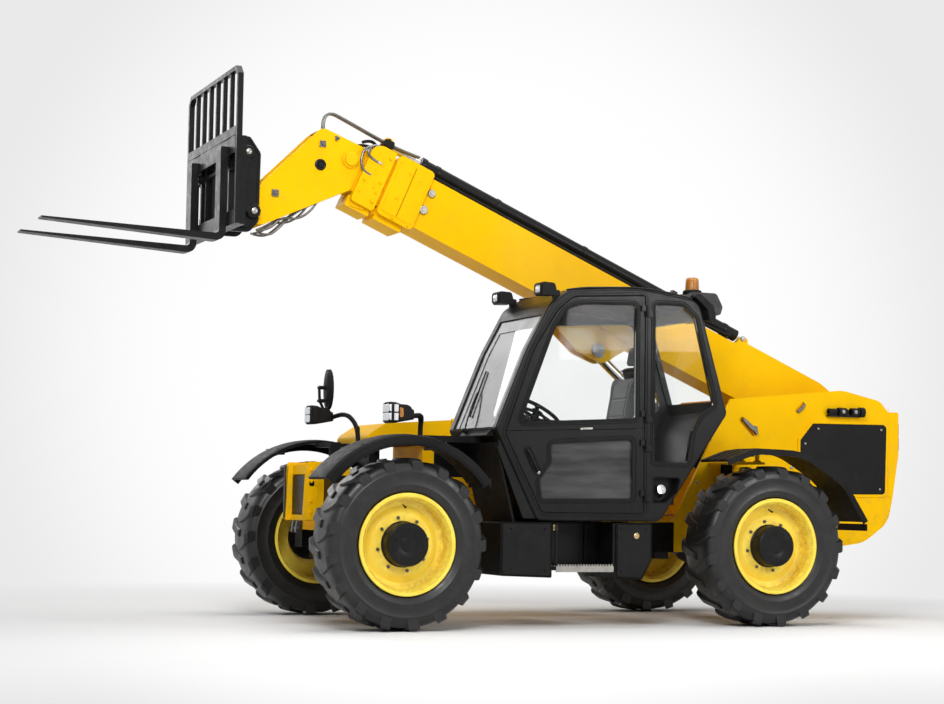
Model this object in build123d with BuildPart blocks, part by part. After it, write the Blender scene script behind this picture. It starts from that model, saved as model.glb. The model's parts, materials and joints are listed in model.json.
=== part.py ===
"""Telescopic handler with a three-section boom, pallet forks and a left-hand cab.

Units are millimetres.  +Z is up, the forks point to -Y and +X is the machine's left.
Side outlines are drawn on side(x): their first number is the distance behind the
front axle and their second is the height above the ground.
Boom outlines are drawn on boom_side(x): their first number runs forward along the
boom from its pivot and their second rises square to it.
A third number in an outline is the radius that rounds that corner.
"""
from build123d import *
from math import cos, hypot, radians, sin, sqrt, tan
import os

os.makedirs("parts", exist_ok=True)

# ---------------------------------------------------------------- driving sizes
wheelbase = 2888
track = 1896
rear_overhang = 1592           # rear axle to the rear edge of the body
fit_gap = 0.3                  # seated pieces on one body
run_gap = 6                    # pieces that move past each other
pin_gap = 0.5                  # at pins and rods

# wheels, knuckles and axles
tyre_radius = 587.5
tyre_width = 402
lug_height = 36
lug_pairs = 17
lug_width = 58
lug_rake = 80                  # how far a lug's outer end leads its inner end
lug_overlap = 14               # how far a lug crosses the tyre's middle
bead_radius = 335
bead_inset = 32                # tyre's side to the bead
rim_flange = 186               # tyre centre to the rim's flange
rim_wall = 16
hub_radius = 138
hub_reach = 196                # tyre centre to the hub's outer face
disc_inner = 60                # tyre centre to the inner face of the wheel's disc
disc_thickness = 26
kingpin_inset = 158            # tyre centre to the kingpin
kingpin_radius = 62
knuckle_half = 118
spindle_radius = 95
brake_radius = 170
yoke_plate = 32
axle_tube_radius = 75
diff_radius = 165

# frame and rear body
frame_half = 400               # outer faces of the frame's side plates
frame_plate = 30
rail_bottom = 520
cab_floor = 755
frame_nose = 300               # front axle to the frame's front end
nose_reach = 440               # front axle to the front casting's face
seam_height = 965              # where the rear casting meets the side plates
body_top = 1715
rear_slab = 100                # depth of the slab across the back
cross_plate = 40

# boom
pivot_behind_axle = 1062       # behind the rear axle
pivot_height = 1582
pivot_radius = 55
pivot_boss = 110
boom_degrees = 23.2
boom_width = 290
boom_height = 400
boom_wall = 12
middle_wall = 10
outer_length = 4110
collar_step = 40               # how far a collar stands proud of its section
outer_collar = 300
outer_collar_side = 30
middle_collar = 190
middle_collar_side = 10
section_gap = 20               # between collars when the boom is in
wear_pad_length = 80
middle_tail = 600              # pivot to the rear ends of the moving sections
inner_tail = 800
scope_radius = 48
scope_rod_radius = 28
scope_clear = 52               # boom's top to the underside of the telescope cylinder
scope_tail = 930
scope_end_inset = 250          # telescope gland, short of the outer section's end

# lift and tilt cylinders
lift_base_behind_axle = 712    # behind the rear axle
lift_base_height = 640
lift_pin_radius = 40
lift_barrel_radius = 80
lift_rod_radius = 40
lift_barrel_length = 1500
lift_stroke_in = 396           # how far the rod goes in when the boom is down
lift_eye_along = 2030
lift_eye_drop = 160            # below the boom's underside
lift_eye_radius = 50
tilt_base_inset = 160          # tilt cylinder's base pin, behind the inner section's end
tilt_base_up = 60
tilt_barrel_radius = 52
tilt_rod_radius = 25
tilt_pin_radius = 24
tilt_barrel_length = 720

# carriage and forks
low_pin_ahead = 601.6          # carriage's pin, ahead of the inner section's end
low_pin_drop = 660             # and below the boom's middle line
low_pin_radius = 36
tilt_eye_rise = 160            # tilt cylinder's eye, above the carriage's pin
rack_reach = 253               # lower pin to the middle of the backrest
carriage_half = 630
fork_blade = 1223
fork_half = 390                # machine's middle to a fork's middle
fork_width = 120
fork_thickness = 50
backrest_tube = 30

# cab
cab_left = 1050
cab_right = 200
cab_wall = 45
cab_rear_gap = 360             # rear axle to the cab's rearmost edge
glass = 6
glass_depth = 14               # cab's skin to the front glass
leaf_gap = 5                   # round each door leaf
door_axis = (1065, 1850)       # across, behind the front axle
hinge_radius = 13
hinge_knuckle = 40
hood_axis = (-360, 1500)       # across, above the ground
hood_knuckle = 50
hood_wall = 30
hitch_radius = 16

# ---------------------------------------------------------------- derived places
rail_top = cab_floor - fit_gap
rear_reach = wheelbase + rear_overhang
body_back = rear_reach - rear_slab
pivot_back = wheelbase + pivot_behind_axle
lift_base = (wheelbase + lift_base_behind_axle, lift_base_height)
axle_height = tyre_radius
wheel_x = track / 2
kingpin_x = wheel_x - kingpin_inset
boom_angle = radians(boom_degrees)
middle_end = outer_length + section_gap + middle_collar
inner_end = middle_end + section_gap
low_pin_along = inner_end + low_pin_ahead
tilt_base_along = inner_end - tilt_base_inset


def boom_point(along, up):
    """Side coordinates of a point given along and square to the boom."""
    y = pivot_back - along * cos(boom_angle) + up * sin(boom_angle)
    z = pivot_height + along * sin(boom_angle) + up * cos(boom_angle)
    return y, z


low_pin_at = boom_point(low_pin_along, -low_pin_drop)
tilt_eye_at = (low_pin_at[0], low_pin_at[1] + tilt_eye_rise)
rack_face = low_pin_at[0] - rack_reach
shank_back = rack_face - backrest_tube / 2 - 7
fork_tip = shank_back - fork_thickness - fork_blade
front_axle_y = (-fork_tip - rear_reach) / 2


# ---------------------------------------------------------------- drawing helpers
def side(x):
    """Upright plane seen from the left side, measured from the front axle."""
    return Plane(origin=(x, front_axle_y, 0), x_dir=(0, 1, 0), z_dir=(1, 0, 0))


def level(z):
    """Flat plane at a height, x across and y behind the front axle."""
    return Plane(origin=(0, front_axle_y, z), x_dir=(1, 0, 0), z_dir=(0, 0, 1))


def station(y):
    """Upright plane across the machine, facing forward."""
    return Plane(origin=(0, front_axle_y + y, 0), x_dir=(1, 0, 0), z_dir=(0, -1, 0))


def boom_side(x):
    """Upright plane along the boom, facing right; offsets along it run to -X."""
    return Plane(origin=(x, front_axle_y + pivot_back, pivot_height),
                 x_dir=(0, -cos(boom_angle), sin(boom_angle)), z_dir=(-1, 0, 0))


def boom_station(along):
    """Plane square to the boom, facing forward along it: x is +X, y rises."""
    origin = boom_side(0).from_local_coords(Vector(along, 0, 0))
    return Plane(origin=origin, x_dir=(1, 0, 0),
                 z_dir=(0, -cos(boom_angle), sin(boom_angle)))


def shape(plane, corners):
    """Closed sketch from an outline whose corners may carry a radius."""
    count = len(corners)
    rounds = []
    for i, corner in enumerate(corners):
        here = Vector(*corner[:2])
        radius = corner[2] if len(corner) > 2 else 0
        back = (Vector(*corners[i - 1][:2]) - here).normalized()
        ahead = (Vector(*corners[(i + 1) % count][:2]) - here).normalized()
        half = radians(back.get_angle(ahead)) / 2
        trim = radius / tan(half)
        middle = here + (back + ahead).normalized() * (radius / sin(half) - radius)
        rounds.append((here + back * trim, middle, here + ahead * trim, radius > 0))
    with BuildSketch(plane) as outline:
        with BuildLine():
            for i, (start, middle, end, curved) in enumerate(rounds):
                if curved:
                    ThreePointArc(start, middle, end)
                Line(end, rounds[(i + 1) % count][0])
        make_face()
    return outline.sketch


def rounded(points, radius):
    """An outline with the same radius at every corner."""
    return [(*point[:2], radius) for point in points]


def inset(corners, amount):
    """An outline with every edge moved inward by an amount, and its radii to match."""
    count = len(corners)
    area = sum(a[0] * b[1] - b[0] * a[1] for a, b in zip(corners, corners[1:] + corners[:1]))
    turn = 1 if area > 0 else -1
    moved = []
    for i, corner in enumerate(corners):
        here = Vector(*corner[:2])
        arrive = (here - Vector(*corners[i - 1][:2])).normalized()
        leave = (Vector(*corners[(i + 1) % count][:2]) - here).normalized()
        first = Vector(-arrive.Y, arrive.X) * turn
        second = Vector(-leave.Y, leave.X) * turn
        push = (first + second) * (amount / (1 + first.dot(second)))
        radius = corner[2] if len(corner) > 2 else 0
        outward = arrive.cross(leave).Z * turn > 0
        kept = max(radius - amount, 0) if outward else radius + amount if radius else 0
        moved.append((here.X + push.X, here.Y + push.Y, kept))
    return moved


def band(path, thickness):
    """Outline of a sheet under an open outline that runs rearward."""
    points = [Vector(*corner[:2]) for corner in path]
    ways = [(after - before).normalized() for before, after in zip(points, points[1:])]
    under = []
    for corner, here, first, second in zip(path, points, ways[:1] + ways, ways + ways[-1:]):
        down = Vector(first.Y + second.Y, -first.X - second.X) * (thickness / (1 + first.dot(second)))
        radius = corner[2] - thickness if len(corner) > 2 else 0
        under.append((here.X + down.X, here.Y + down.Y, radius))
    return path + under[::-1]


def slab(corners, x0, x1, mode=Mode.ADD):
    """Plate with a side outline, from x0 to x1."""
    extrude(shape(side(x0), corners), amount=x1 - x0, mode=mode)


def boom_slab(corners, x0, x1, mode=Mode.ADD):
    """Plate with an outline along the boom, from x0 down to x1."""
    extrude(shape(boom_side(x0), corners), amount=x0 - x1, mode=mode)


def boom_box(along0, along1, up0, up1, half, mode=Mode.ADD, radius=0):
    """Bar square to the boom, with the same reach on both sides."""
    boom_slab([(along0, up0, radius), (along1, up0, radius), (along1, up1, radius),
               (along0, up1, radius)], half, -half, mode)


def block(x0, x1, y0, y1, z0, z1, mode=Mode.ADD):
    """Box between three pairs of faces, y behind the front axle."""
    with Locations(((x0 + x1) / 2, front_axle_y + (y0 + y1) / 2, (z0 + z1) / 2)):
        Box(abs(x1 - x0), abs(y1 - y0), abs(z1 - z0), mode=mode)


def cross_round(x0, x1, y, z, radius, mode=Mode.ADD):
    """Round bar or hole across the machine."""
    with BuildSketch(side(x0)) as outline:
        with Locations((y, z)):
            Circle(radius)
    extrude(outline.sketch, amount=x1 - x0, mode=mode)


def along_round(x, z, y0, y1, radius, mode=Mode.ADD):
    """Round bar or hole along the machine."""
    with BuildSketch(station(y0)) as outline:
        with Locations((x, z)):
            Circle(radius)
    extrude(outline.sketch, amount=y0 - y1, mode=mode)


def upright_round(x, y, z0, z1, radius, mode=Mode.ADD):
    """Round post or hole up from z0."""
    with BuildSketch(level(z0)) as outline:
        with Locations((x, y)):
            Circle(radius)
    extrude(outline.sketch, amount=z1 - z0, mode=mode)


def boom_round(x0, x1, along, up, radius, mode=Mode.ADD):
    """Round bar or hole across the boom."""
    with BuildSketch(boom_side(x0)) as outline:
        with Locations((along, up)):
            Circle(radius)
    extrude(outline.sketch, amount=x0 - x1, mode=mode)


def rod_between(start, end, radius, mode=Mode.ADD):
    """Round bar between two points (x, y behind the front axle, z)."""
    a = Vector(start[0], front_axle_y + start[1], start[2])
    b = Vector(end[0], front_axle_y + end[1], end[2])
    with BuildSketch(Plane(origin=a, z_dir=b - a)) as outline:
        Circle(radius)
    extrude(outline.sketch, amount=(b - a).length, mode=mode)


def bent_tube(points, radius):
    """Round tube through points, with a ball at each bend."""
    for start, end in zip(points, points[1:]):
        rod_between(start, end, radius)
    for x, y, z in points[1:-1]:
        with Locations((x, front_axle_y + y, z)):
            Sphere(radius)


def wear_ring(along, half_across, half_up):
    """Wear pads round the inside of a boom section, a pin gap off the next one."""
    pad = run_gap - pin_gap
    with BuildSketch(boom_station(along)) as ring:
        Rectangle(2 * half_across, 2 * half_up)
        Rectangle(2 * (half_across - pad), 2 * (half_up - pad), mode=Mode.SUBTRACT)
    extrude(ring.sketch, amount=wear_pad_length)


def save(part, name):
    """Write one node's solids under its name."""
    part.label = name
    export_step(part, f"parts/{name}.step")


sides = {"left": 1, "right": -1}
axles = {"front": 0, "rear": wheelbase}

# ================================================================ wheels
half_tyre = tyre_width / 2
carcass_radius = tyre_radius - lug_height
facets = 2 * lug_pairs
# columns: inward from the tyre's side, radius
tyre_section = [(bead_inset, bead_radius + 17), (4, 415), (4, 480), (30, 533), (75, carcass_radius)]
sections = [(inward - half_tyre, radius) for inward, radius in tyre_section]
sections += [(-x, radius) for x, radius in reversed(sections)]
with BuildPart() as carcass:
    for x, radius in sections:
        with BuildSketch(Plane.YZ.offset(x)):
            RegularPolygon(radius, facets)
    loft(ruled=True)
    with BuildSketch(Plane.YZ.offset(-half_tyre)) as bore:
        Circle(bead_radius)
    extrude(bore.sketch, amount=tyre_width, mode=Mode.SUBTRACT)

# a lug's top is flat, and its farthest corner stands on the tyre's radius
lug_middle = lug_rake / 2 - lug_width / 4
corner_reach = lug_middle + lug_width / 2
lug_top = sqrt(tyre_radius ** 2 - corner_reach ** 2)
lug_root = carcass_radius - lug_height
lug_pitch = 360 / lug_pairs
lug_bars = []
for row, turn in ((1, 0), (-1, lug_pitch / 2)):
    inner_x = -row * lug_overlap
    outer_x = row * half_tyre
    with BuildPart() as lug:
        with BuildSketch(Plane.XY.offset(lug_root)) as bar:
            with BuildLine():
                Polyline((inner_x, -lug_middle - lug_width / 2), (inner_x, -lug_middle + lug_width / 2),
                         (outer_x, lug_rake - lug_middle + lug_width / 2),
                         (outer_x, lug_rake - lug_middle - lug_width / 2), close=True)
            make_face()
        extrude(amount=lug_top - lug_root)
        with BuildSketch(Plane.XZ.offset(-tyre_width)) as shoulder:
            with BuildLine():
                Polyline((row * (half_tyre - 80), lug_top), (row * (half_tyre - 14), lug_top - 22),
                         (outer_x, lug_top - 60), (row * (half_tyre + 10), lug_top - 60),
                         (row * (half_tyre + 10), lug_top + 10), (row * (half_tyre - 80), lug_top + 10),
                         close=True)
            make_face()
        extrude(shoulder.sketch, amount=2 * tyre_width, mode=Mode.SUBTRACT)
    lug_bars += [lug.part.rotate(Axis.X, turn + i * lug_pitch) for i in range(lug_pairs)]

with BuildPart() as lugged_tyre:
    add(carcass.part)
    add(lug_bars)

with BuildPart() as wheel_disc:
    barrel = bead_radius - fit_gap
    inner = barrel - rim_wall
    disc_outer = disc_inner + disc_thickness
    with BuildSketch(Plane.XY) as rim_profile:
        with BuildLine():
            Polyline((-rim_flange, barrel + 12), (-rim_flange, inner + 6), (-rim_flange + 40, inner - 14),
                     (20, inner - 14), (disc_inner - 12, 205), (disc_inner, 205), (disc_inner, 0),
                     (hub_reach, 0), (hub_reach, hub_radius), (disc_outer, hub_radius),
                     (disc_outer, 150), (78, 215), (52, 262), (60, inner - 14),
                     (rim_flange - 40, inner - 14), (rim_flange, inner + 6), (rim_flange, barrel + 12),
                     (half_tyre - bead_inset + 1, barrel), (-half_tyre + bead_inset - 1, barrel),
                     close=True)
        make_face()
    revolve(axis=Axis.X)

spindle_end = wheel_x + disc_inner - fit_gap
for end, along in axles.items():
    for hand, sign in sides.items():
        # the lugs of the two sides mirror each other, so they point the same way
        place = Location((sign * wheel_x, front_axle_y + along, axle_height))
        wheel_tyre = lugged_tyre.part if sign > 0 else lugged_tyre.part.mirror(Plane.YZ)
        save(wheel_tyre.moved(place), f"{end}_{hand}_tyre")
        rim = wheel_disc.part if sign > 0 else wheel_disc.part.mirror(Plane.YZ)
        save(rim.moved(place), f"{end}_{hand}_rim")

        # the knuckle turns on the kingpin and carries the hub's spindle, brake and steering arm
        with BuildPart() as knuckle:
            upright_round(sign * kingpin_x, along, axle_height - knuckle_half,
                          axle_height + knuckle_half, kingpin_radius)
            cross_round(sign * kingpin_x, sign * spindle_end, along, axle_height, spindle_radius)
            cross_round(sign * (wheel_x + 20), sign * (spindle_end - 12), along, axle_height, brake_radius)
            block(sign * (kingpin_x - 18), sign * (kingpin_x + 22), along, along + 190,
                  axle_height - 80, axle_height - 48)
        save(knuckle.part, f"{end}_{hand}_knuckle")

# ================================================================ axles
yoke_reach = kingpin_x - kingpin_radius - run_gap
for end, along in axles.items():
    with BuildPart() as axle:
        with BuildSketch(level(axle_height)) as housing:
            with BuildLine():
                Polyline((-yoke_reach, along), (-yoke_reach, along + axle_tube_radius),
                         (-240, along + axle_tube_radius + 13), (-150, along + diff_radius),
                         (150, along + diff_radius), (240, along + axle_tube_radius + 13),
                         (yoke_reach, along + axle_tube_radius), (yoke_reach, along), close=True)
            make_face()
        centre = (0, front_axle_y + along, axle_height)
        revolve(axis=Axis(origin=centre, direction=(1, 0, 0)))
        along_round(0, axle_height, along - diff_radius - 60, along, 80)
        for sign in sides.values():
            for up in (1, -1):
                ear = axle_height + up * (knuckle_half + pin_gap)
                with BuildSketch(level(ear)) as yoke:
                    with Locations((sign * kingpin_x, along)):
                        Circle(kingpin_radius)
                    with Locations((sign * (kingpin_x - 90), along)):
                        Rectangle(180, 2 * kingpin_radius)
                extrude(yoke.sketch, amount=up * yoke_plate)
                block(sign * (yoke_reach - 108), sign * (yoke_reach - 8), along - kingpin_radius,
                      along + kingpin_radius, axle_height, ear + up * yoke_plate)
    save(axle.part, f"{end}_axle")

# ================================================================ frame
tower_front = wheelbase - 188
saddle_low = axle_height + diff_radius + fit_gap
inside = frame_half - frame_plate
frame_outline = [(-frame_nose, rail_bottom + 140), (-frame_nose, 1150), (-frame_nose + 120, 1150, 40),
                 (-frame_nose + 260, rail_top + 120, 60), (420, rail_top), (wheelbase - 448, rail_top, 60),
                 (tower_front, 1250, 200), (tower_front + 240, 1700), (pivot_back, 1800, 300),
                 (rear_reach - 174, 1725, 120), (body_back, 1640, 30), (body_back, seam_height),
                 (wheelbase + 1072, seam_height), (wheelbase + 872, rail_bottom + 40, 60),
                 (wheelbase + 552, rail_bottom + 20, 60), (wheelbase - 588, rail_bottom),
                 (420, rail_bottom), (120, rail_bottom + 240, 60), (-120, rail_bottom + 240, 60)]
# rounded slots that pass hoses through the tower plates: two ends (y, z) and a half width
hose_slots = [((wheelbase + 152, 1540), (wheelbase + 252, 1440), 24),
              ((wheelbase + 642, 1625), (wheelbase + 700, 1680), 14)]
with BuildPart() as chassis:
    for sign in sides.values():
        slab(frame_outline, sign * frame_half, sign * inside)
    for y0, z0, z1 in ((600, rail_bottom, rail_top), (1500, rail_bottom, rail_top),
                       (wheelbase - 538, rail_bottom, rail_top)):
        block(-inside, inside, y0, y0 + cross_plate, z0, z1)
    for along in axles.values():
        block(-inside, inside, along - 60, along + 60, saddle_low, saddle_low + 28)
    # front casting: two cheeks under a beam, with a dark plate's window between them
    block(-inside, inside, -frame_nose, -frame_nose + cross_plate, rail_bottom + 140, 1150)
    for sign in sides.values():
        slab([(-frame_nose, 730), (-nose_reach - 10, 730, 20), (-nose_reach + 10, 1130, 30),
              (-frame_nose, 1150)], sign * 230, sign * 196)
    block(-230, 230, -nose_reach + 40, -frame_nose, 1060, 1130)
    block(-230, 230, -nose_reach + 30, -frame_nose, 730, 770)
    cross_round(-frame_half, frame_half, wheelbase, axle_height, diff_radius + fit_gap, Mode.SUBTRACT)
    for sign in sides.values():
        cross_round(sign * inside, sign * (boom_width / 2 + run_gap), pivot_back, pivot_height, pivot_boss)
    cross_round(-frame_half, frame_half, pivot_back, pivot_height, pivot_radius, Mode.SUBTRACT)
    cross_round(-frame_half, frame_half, *lift_base, lift_pin_radius, Mode.SUBTRACT)
    for (y0, z0), (y1, z1), half_slot in hose_slots:
        run = hypot(y1 - y0, z1 - z0)
        across = (-(z1 - z0) / run * half_slot, (y1 - y0) / run * half_slot)
        ring = [(y0 + across[0], z0 + across[1]), (y1 + across[0], z1 + across[1]),
                (y1 - across[0], z1 - across[1]), (y0 - across[0], z0 - across[1])]
        slab(ring, -frame_half, frame_half, Mode.SUBTRACT)
        for y, z in ((y0, z0), (y1, z1)):
            cross_round(-frame_half, frame_half, y, z, half_slot, Mode.SUBTRACT)
save(chassis.part, "chassis")

belly_top = seam_height - fit_gap
casting_outline = [(wheelbase + 1080, belly_top), (wheelbase + 885, 573), (wheelbase + 1062, 573, 60),
                   (rear_reach - 330, 600, 300), (rear_reach - 100, 760, 220), (rear_reach - 56, belly_top)]
slab_outline = [(body_back + fit_gap, belly_top), (body_back + fit_gap, 1640), (rear_reach, 1640, 12),
                (rear_reach, 1300, 400), (rear_reach - 56, belly_top)]
with BuildPart() as rear_body:
    slab(casting_outline, -frame_half, frame_half)
    slab(slab_outline, -frame_half, frame_half)
    block(-90, 90, rear_reach - 180, rear_reach, 700, 955, Mode.SUBTRACT)
save(rear_body.part, "rear_body")

with BuildPart() as boom_pin:
    cross_round(-frame_half, frame_half, pivot_back, pivot_height, pivot_radius - fit_gap)
save(boom_pin.part, "boom_pin")

# ================================================================ boom
half_w = boom_width / 2
half_h = boom_height / 2
scope_up = half_h + scope_clear + scope_radius
scope_gland = outer_length - scope_end_inset
with BuildPart() as outer_boom:
    boom_slab([(-170, -110, 60), (-110, -180, 60), (350, -half_h), (outer_length, -half_h),
               (outer_length, half_h), (1000, half_h), (930, half_h + 46), (150, half_h + 46, 200),
               (-110, 190, 60), (-170, 110, 60)], half_w, -half_w)
    start = outer_length - outer_collar
    boom_box(start, outer_length, -half_h - collar_step, half_h + collar_step,
             half_w + outer_collar_side, radius=34)
    boom_box(start + 60, outer_length - 10, -half_h - 2 * collar_step, -half_h, half_w - 20)
    boom_box(420, outer_length, -half_h + boom_wall, half_h - boom_wall, half_w - boom_wall,
             Mode.SUBTRACT)
    boom_round(half_w, -half_w, 0, 0, pivot_radius + pin_gap, Mode.SUBTRACT)
    # rounded ears under the boom for the lift cylinder
    ear_low = -half_h - lift_eye_drop - 70
    for sign in sides.values():
        boom_slab([(lift_eye_along - 250, -half_h), (lift_eye_along - 90, ear_low, 80),
                   (lift_eye_along + 130, ear_low - 8, 150), (lift_eye_along + 330, ear_low + 60, 150),
                   (lift_eye_along + 560, -half_h)], sign * 78, sign * 56)
        boom_round(sign * 78, sign * (lift_eye_radius + 42), lift_eye_along, -half_h - lift_eye_drop,
                   lift_eye_radius)
    # lug at the telescope cylinder's tail
    boom_slab([(scope_tail - 120, half_h), (scope_tail - 100, scope_up + 20, 30),
               (scope_tail - 40, scope_up + 20, 30), (scope_tail + 10, half_h)], 26, -26)
    wear_ring(outer_length - wear_pad_length - 10, half_w - boom_wall, half_h - boom_wall)
save(outer_boom.part, "outer_boom")

mid_w = half_w - boom_wall - run_gap
mid_h = half_h - boom_wall - run_gap
with BuildPart() as middle_boom:
    boom_box(middle_tail, middle_end, -mid_h, mid_h, mid_w)
    start = outer_length + section_gap
    boom_slab([(start, -half_h - collar_step, 24), (middle_end, -half_h - collar_step, 24),
               (middle_end, half_h, 60), (middle_end - 70, half_h + collar_step, 40),
               (start, half_h + collar_step, 24)],
              half_w + middle_collar_side, -half_w - middle_collar_side)
    boom_box(start + 10, middle_end + 14, -half_h - 2 * collar_step, -half_h, half_w - 40)
    boom_box(middle_tail, middle_end, -mid_h + middle_wall, mid_h - middle_wall,
             mid_w - middle_wall, Mode.SUBTRACT)
    wear_ring(middle_end - wear_pad_length - 10, mid_w - middle_wall, mid_h - middle_wall)
save(middle_boom.part, "middle_boom")

in_w = mid_w - middle_wall - run_gap
in_h = mid_h - middle_wall - run_gap
head_half = in_w + 12
head_outline = [(inner_end, -in_h, 60), (inner_end, 150, 30), (inner_end + 30, 166, 30),
                (inner_end + 383, 154, 70), (inner_end + 620, -430, 500),
                (inner_end + 690, -low_pin_drop - 20, 50), (low_pin_along, -low_pin_drop - 70, 60),
                (inner_end + 490, -low_pin_drop - 44, 60)]
with BuildPart() as inner_boom:
    boom_box(inner_tail, inner_end, -in_h, in_h, in_w)
    boom_slab(head_outline, head_half, -head_half)
    boom_box(inner_tail, inner_end + 100, -in_h + middle_wall, in_h - middle_wall,
             in_w - middle_wall, Mode.SUBTRACT)
    boom_slab([(inner_end, -in_h - 1), (inner_end, in_h - 24), (inner_end + 260, in_h - 24),
               (inner_end + 520, in_h - 60), (inner_end + 860, 0), (inner_end + 860, -900),
               (inner_end + 360, -900)], in_w - 14, 14 - in_w, Mode.SUBTRACT)
    boom_round(head_half, -head_half, low_pin_along, -low_pin_drop, low_pin_radius + pin_gap,
               Mode.SUBTRACT)
    boom_round(in_w, -in_w, tilt_base_along, tilt_base_up, tilt_pin_radius)
    # bosses on the head's cheeks: along, up, radius, height
    for along, up, radius, proud in ((inner_end + 93, 32, 46, 34), (inner_end + 330, 40, 30, 10),
                                     (inner_end + 250, 128, 22, 8)):
        for sign in sides.values():
            boom_round(sign * (head_half + proud), sign * (head_half - 4), along, up, radius)
save(inner_boom.part, "inner_boom")

# telescope cylinder along the top of the boom
saddles = (scope_tail + 80, scope_gland - 140)
with BuildPart() as telescope_barrel:
    for start, length, bore in ((scope_tail + 30, scope_gland - scope_tail - 90, scope_radius - 10),
                                (scope_gland - 60, 60, scope_rod_radius + pin_gap)):
        with BuildSketch(boom_station(start)) as tube:
            with Locations((0, scope_up)):
                Circle(scope_radius)
                Circle(bore, mode=Mode.SUBTRACT)
        extrude(tube.sketch, amount=length)
    with BuildSketch(boom_station(scope_tail + 11)) as tube_end:
        with Locations((0, scope_up)):
            Circle(scope_radius)
    extrude(tube_end.sketch, amount=19)
    for along in saddles:
        saddle_height = scope_up - scope_radius + 4 - half_h - fit_gap
        with BuildSketch(boom_station(along)) as saddle:
            with Locations((0, half_h + fit_gap + saddle_height / 2)):
                Rectangle(70, saddle_height)
        extrude(saddle.sketch, amount=60)
    # hose fitting part of the way along
    boom_box(1555, 1600, scope_up + scope_radius - 4, scope_up + scope_radius + 34, 22)
save(telescope_barrel.part, "telescope_barrel")

scope_eye = outer_length + section_gap + 30
with BuildPart() as telescope_rod:
    with BuildSketch(boom_station(scope_tail + 170)) as bar:
        with Locations((0, scope_up)):
            Circle(scope_rod_radius)
    extrude(bar.sketch, amount=scope_eye - scope_tail - 170)
    boom_box(scope_eye, scope_eye + 70, half_h + collar_step + fit_gap, scope_up + 40, 45)
save(telescope_rod.part, "telescope_rod")

# lift cylinder between the frame and the boom
lift_eye = boom_point(lift_eye_along, -half_h - lift_eye_drop)
lift_run = hypot(lift_base[0] - lift_eye[0], lift_eye[1] - lift_base[1])
lift_way = ((lift_eye[0] - lift_base[0]) / lift_run, (lift_eye[1] - lift_base[1]) / lift_run)
lift_bore = 90                 # base pin to the bottom of the barrel's bore


def lift_point(reach):
    """Point on the lift cylinder's line, a distance from its base pin."""
    return (0, lift_base[0] + lift_way[0] * reach, lift_base[1] + lift_way[1] * reach)


with BuildPart() as lift_barrel:
    rod_between(lift_point(0), lift_point(lift_barrel_length), lift_barrel_radius)
    cross_round(-60, 60, *lift_base, lift_barrel_radius + 5)
    rod_between(lift_point(lift_bore), lift_point(lift_barrel_length - 60), lift_rod_radius + 8,
                Mode.SUBTRACT)
    rod_between(lift_point(lift_barrel_length - 61), lift_point(lift_barrel_length + 1),
                lift_rod_radius + pin_gap, Mode.SUBTRACT)
    cross_round(-lift_barrel_radius - 1, lift_barrel_radius + 1, *lift_base,
                lift_pin_radius + pin_gap, Mode.SUBTRACT)
save(lift_barrel.part, "lift_barrel")

with BuildPart() as lift_rod:
    rod_between(lift_point(lift_bore + lift_stroke_in + 14), lift_point(lift_run), lift_rod_radius)
    cross_round(-50, 50, *lift_eye, lift_eye_radius)
save(lift_rod.part, "lift_rod")

with BuildPart() as lift_pin:
    cross_round(-frame_half, frame_half, *lift_base, lift_pin_radius - fit_gap)
save(lift_pin.part, "lift_pin")

# tilt cylinder inside the boom's head
tilt_base = boom_point(tilt_base_along, tilt_base_up)
tilt_run = hypot(tilt_eye_at[0] - tilt_base[0], tilt_eye_at[1] - tilt_base[1])
tilt_way = ((tilt_eye_at[0] - tilt_base[0]) / tilt_run, (tilt_eye_at[1] - tilt_base[1]) / tilt_run)


def tilt_point(reach):
    """Point on the tilt cylinder's line, a distance from its base pin."""
    return (0, tilt_base[0] + tilt_way[0] * reach, tilt_base[1] + tilt_way[1] * reach)


with BuildPart() as tilt_barrel:
    rod_between(tilt_point(0), tilt_point(tilt_barrel_length), tilt_barrel_radius)
    cross_round(-45, 45, *tilt_base, tilt_barrel_radius + 3)
    rod_between(tilt_point(70), tilt_point(tilt_barrel_length + 1), tilt_rod_radius + pin_gap,
                Mode.SUBTRACT)
    cross_round(-tilt_barrel_radius - 1, tilt_barrel_radius + 1, *tilt_base,
                tilt_pin_radius + pin_gap, Mode.SUBTRACT)
save(tilt_barrel.part, "tilt_barrel")

with BuildPart() as tilt_rod:
    rod_between(tilt_point(250), tilt_point(tilt_run), tilt_rod_radius)
    cross_round(-30, 30, *tilt_eye_at, 42)
save(tilt_rod.part, "tilt_rod")

# ================================================================ carriage and forks
low_y, low_z = low_pin_at
eye_z = low_z + tilt_eye_rise
beam_back = rack_face + 60
beam_front = rack_face - 22 + fit_gap
beam_half = carriage_half - fit_gap
upper_beam = (low_z + 333, low_z + 453)
lower_beam = (low_z - 162, low_z - 62)
cheek_in = head_half + run_gap
cheek_out = cheek_in + 30
cheek_outline = [(beam_back, low_z - 148, 20), (low_y - 20, low_z - 148, 50), (low_y + 44, low_z - 70, 60),
                 (low_y + 52, low_z + 424, 50), (low_y - 30, low_z + 538, 30), (beam_back, low_z + 538)]
eye_lug = [(beam_back, eye_z - 90), (low_y, eye_z - 60, 40), (low_y + 58, eye_z - 20, 50),
           (low_y + 40, eye_z + 58, 40), (beam_back, eye_z + 80)]
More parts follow.
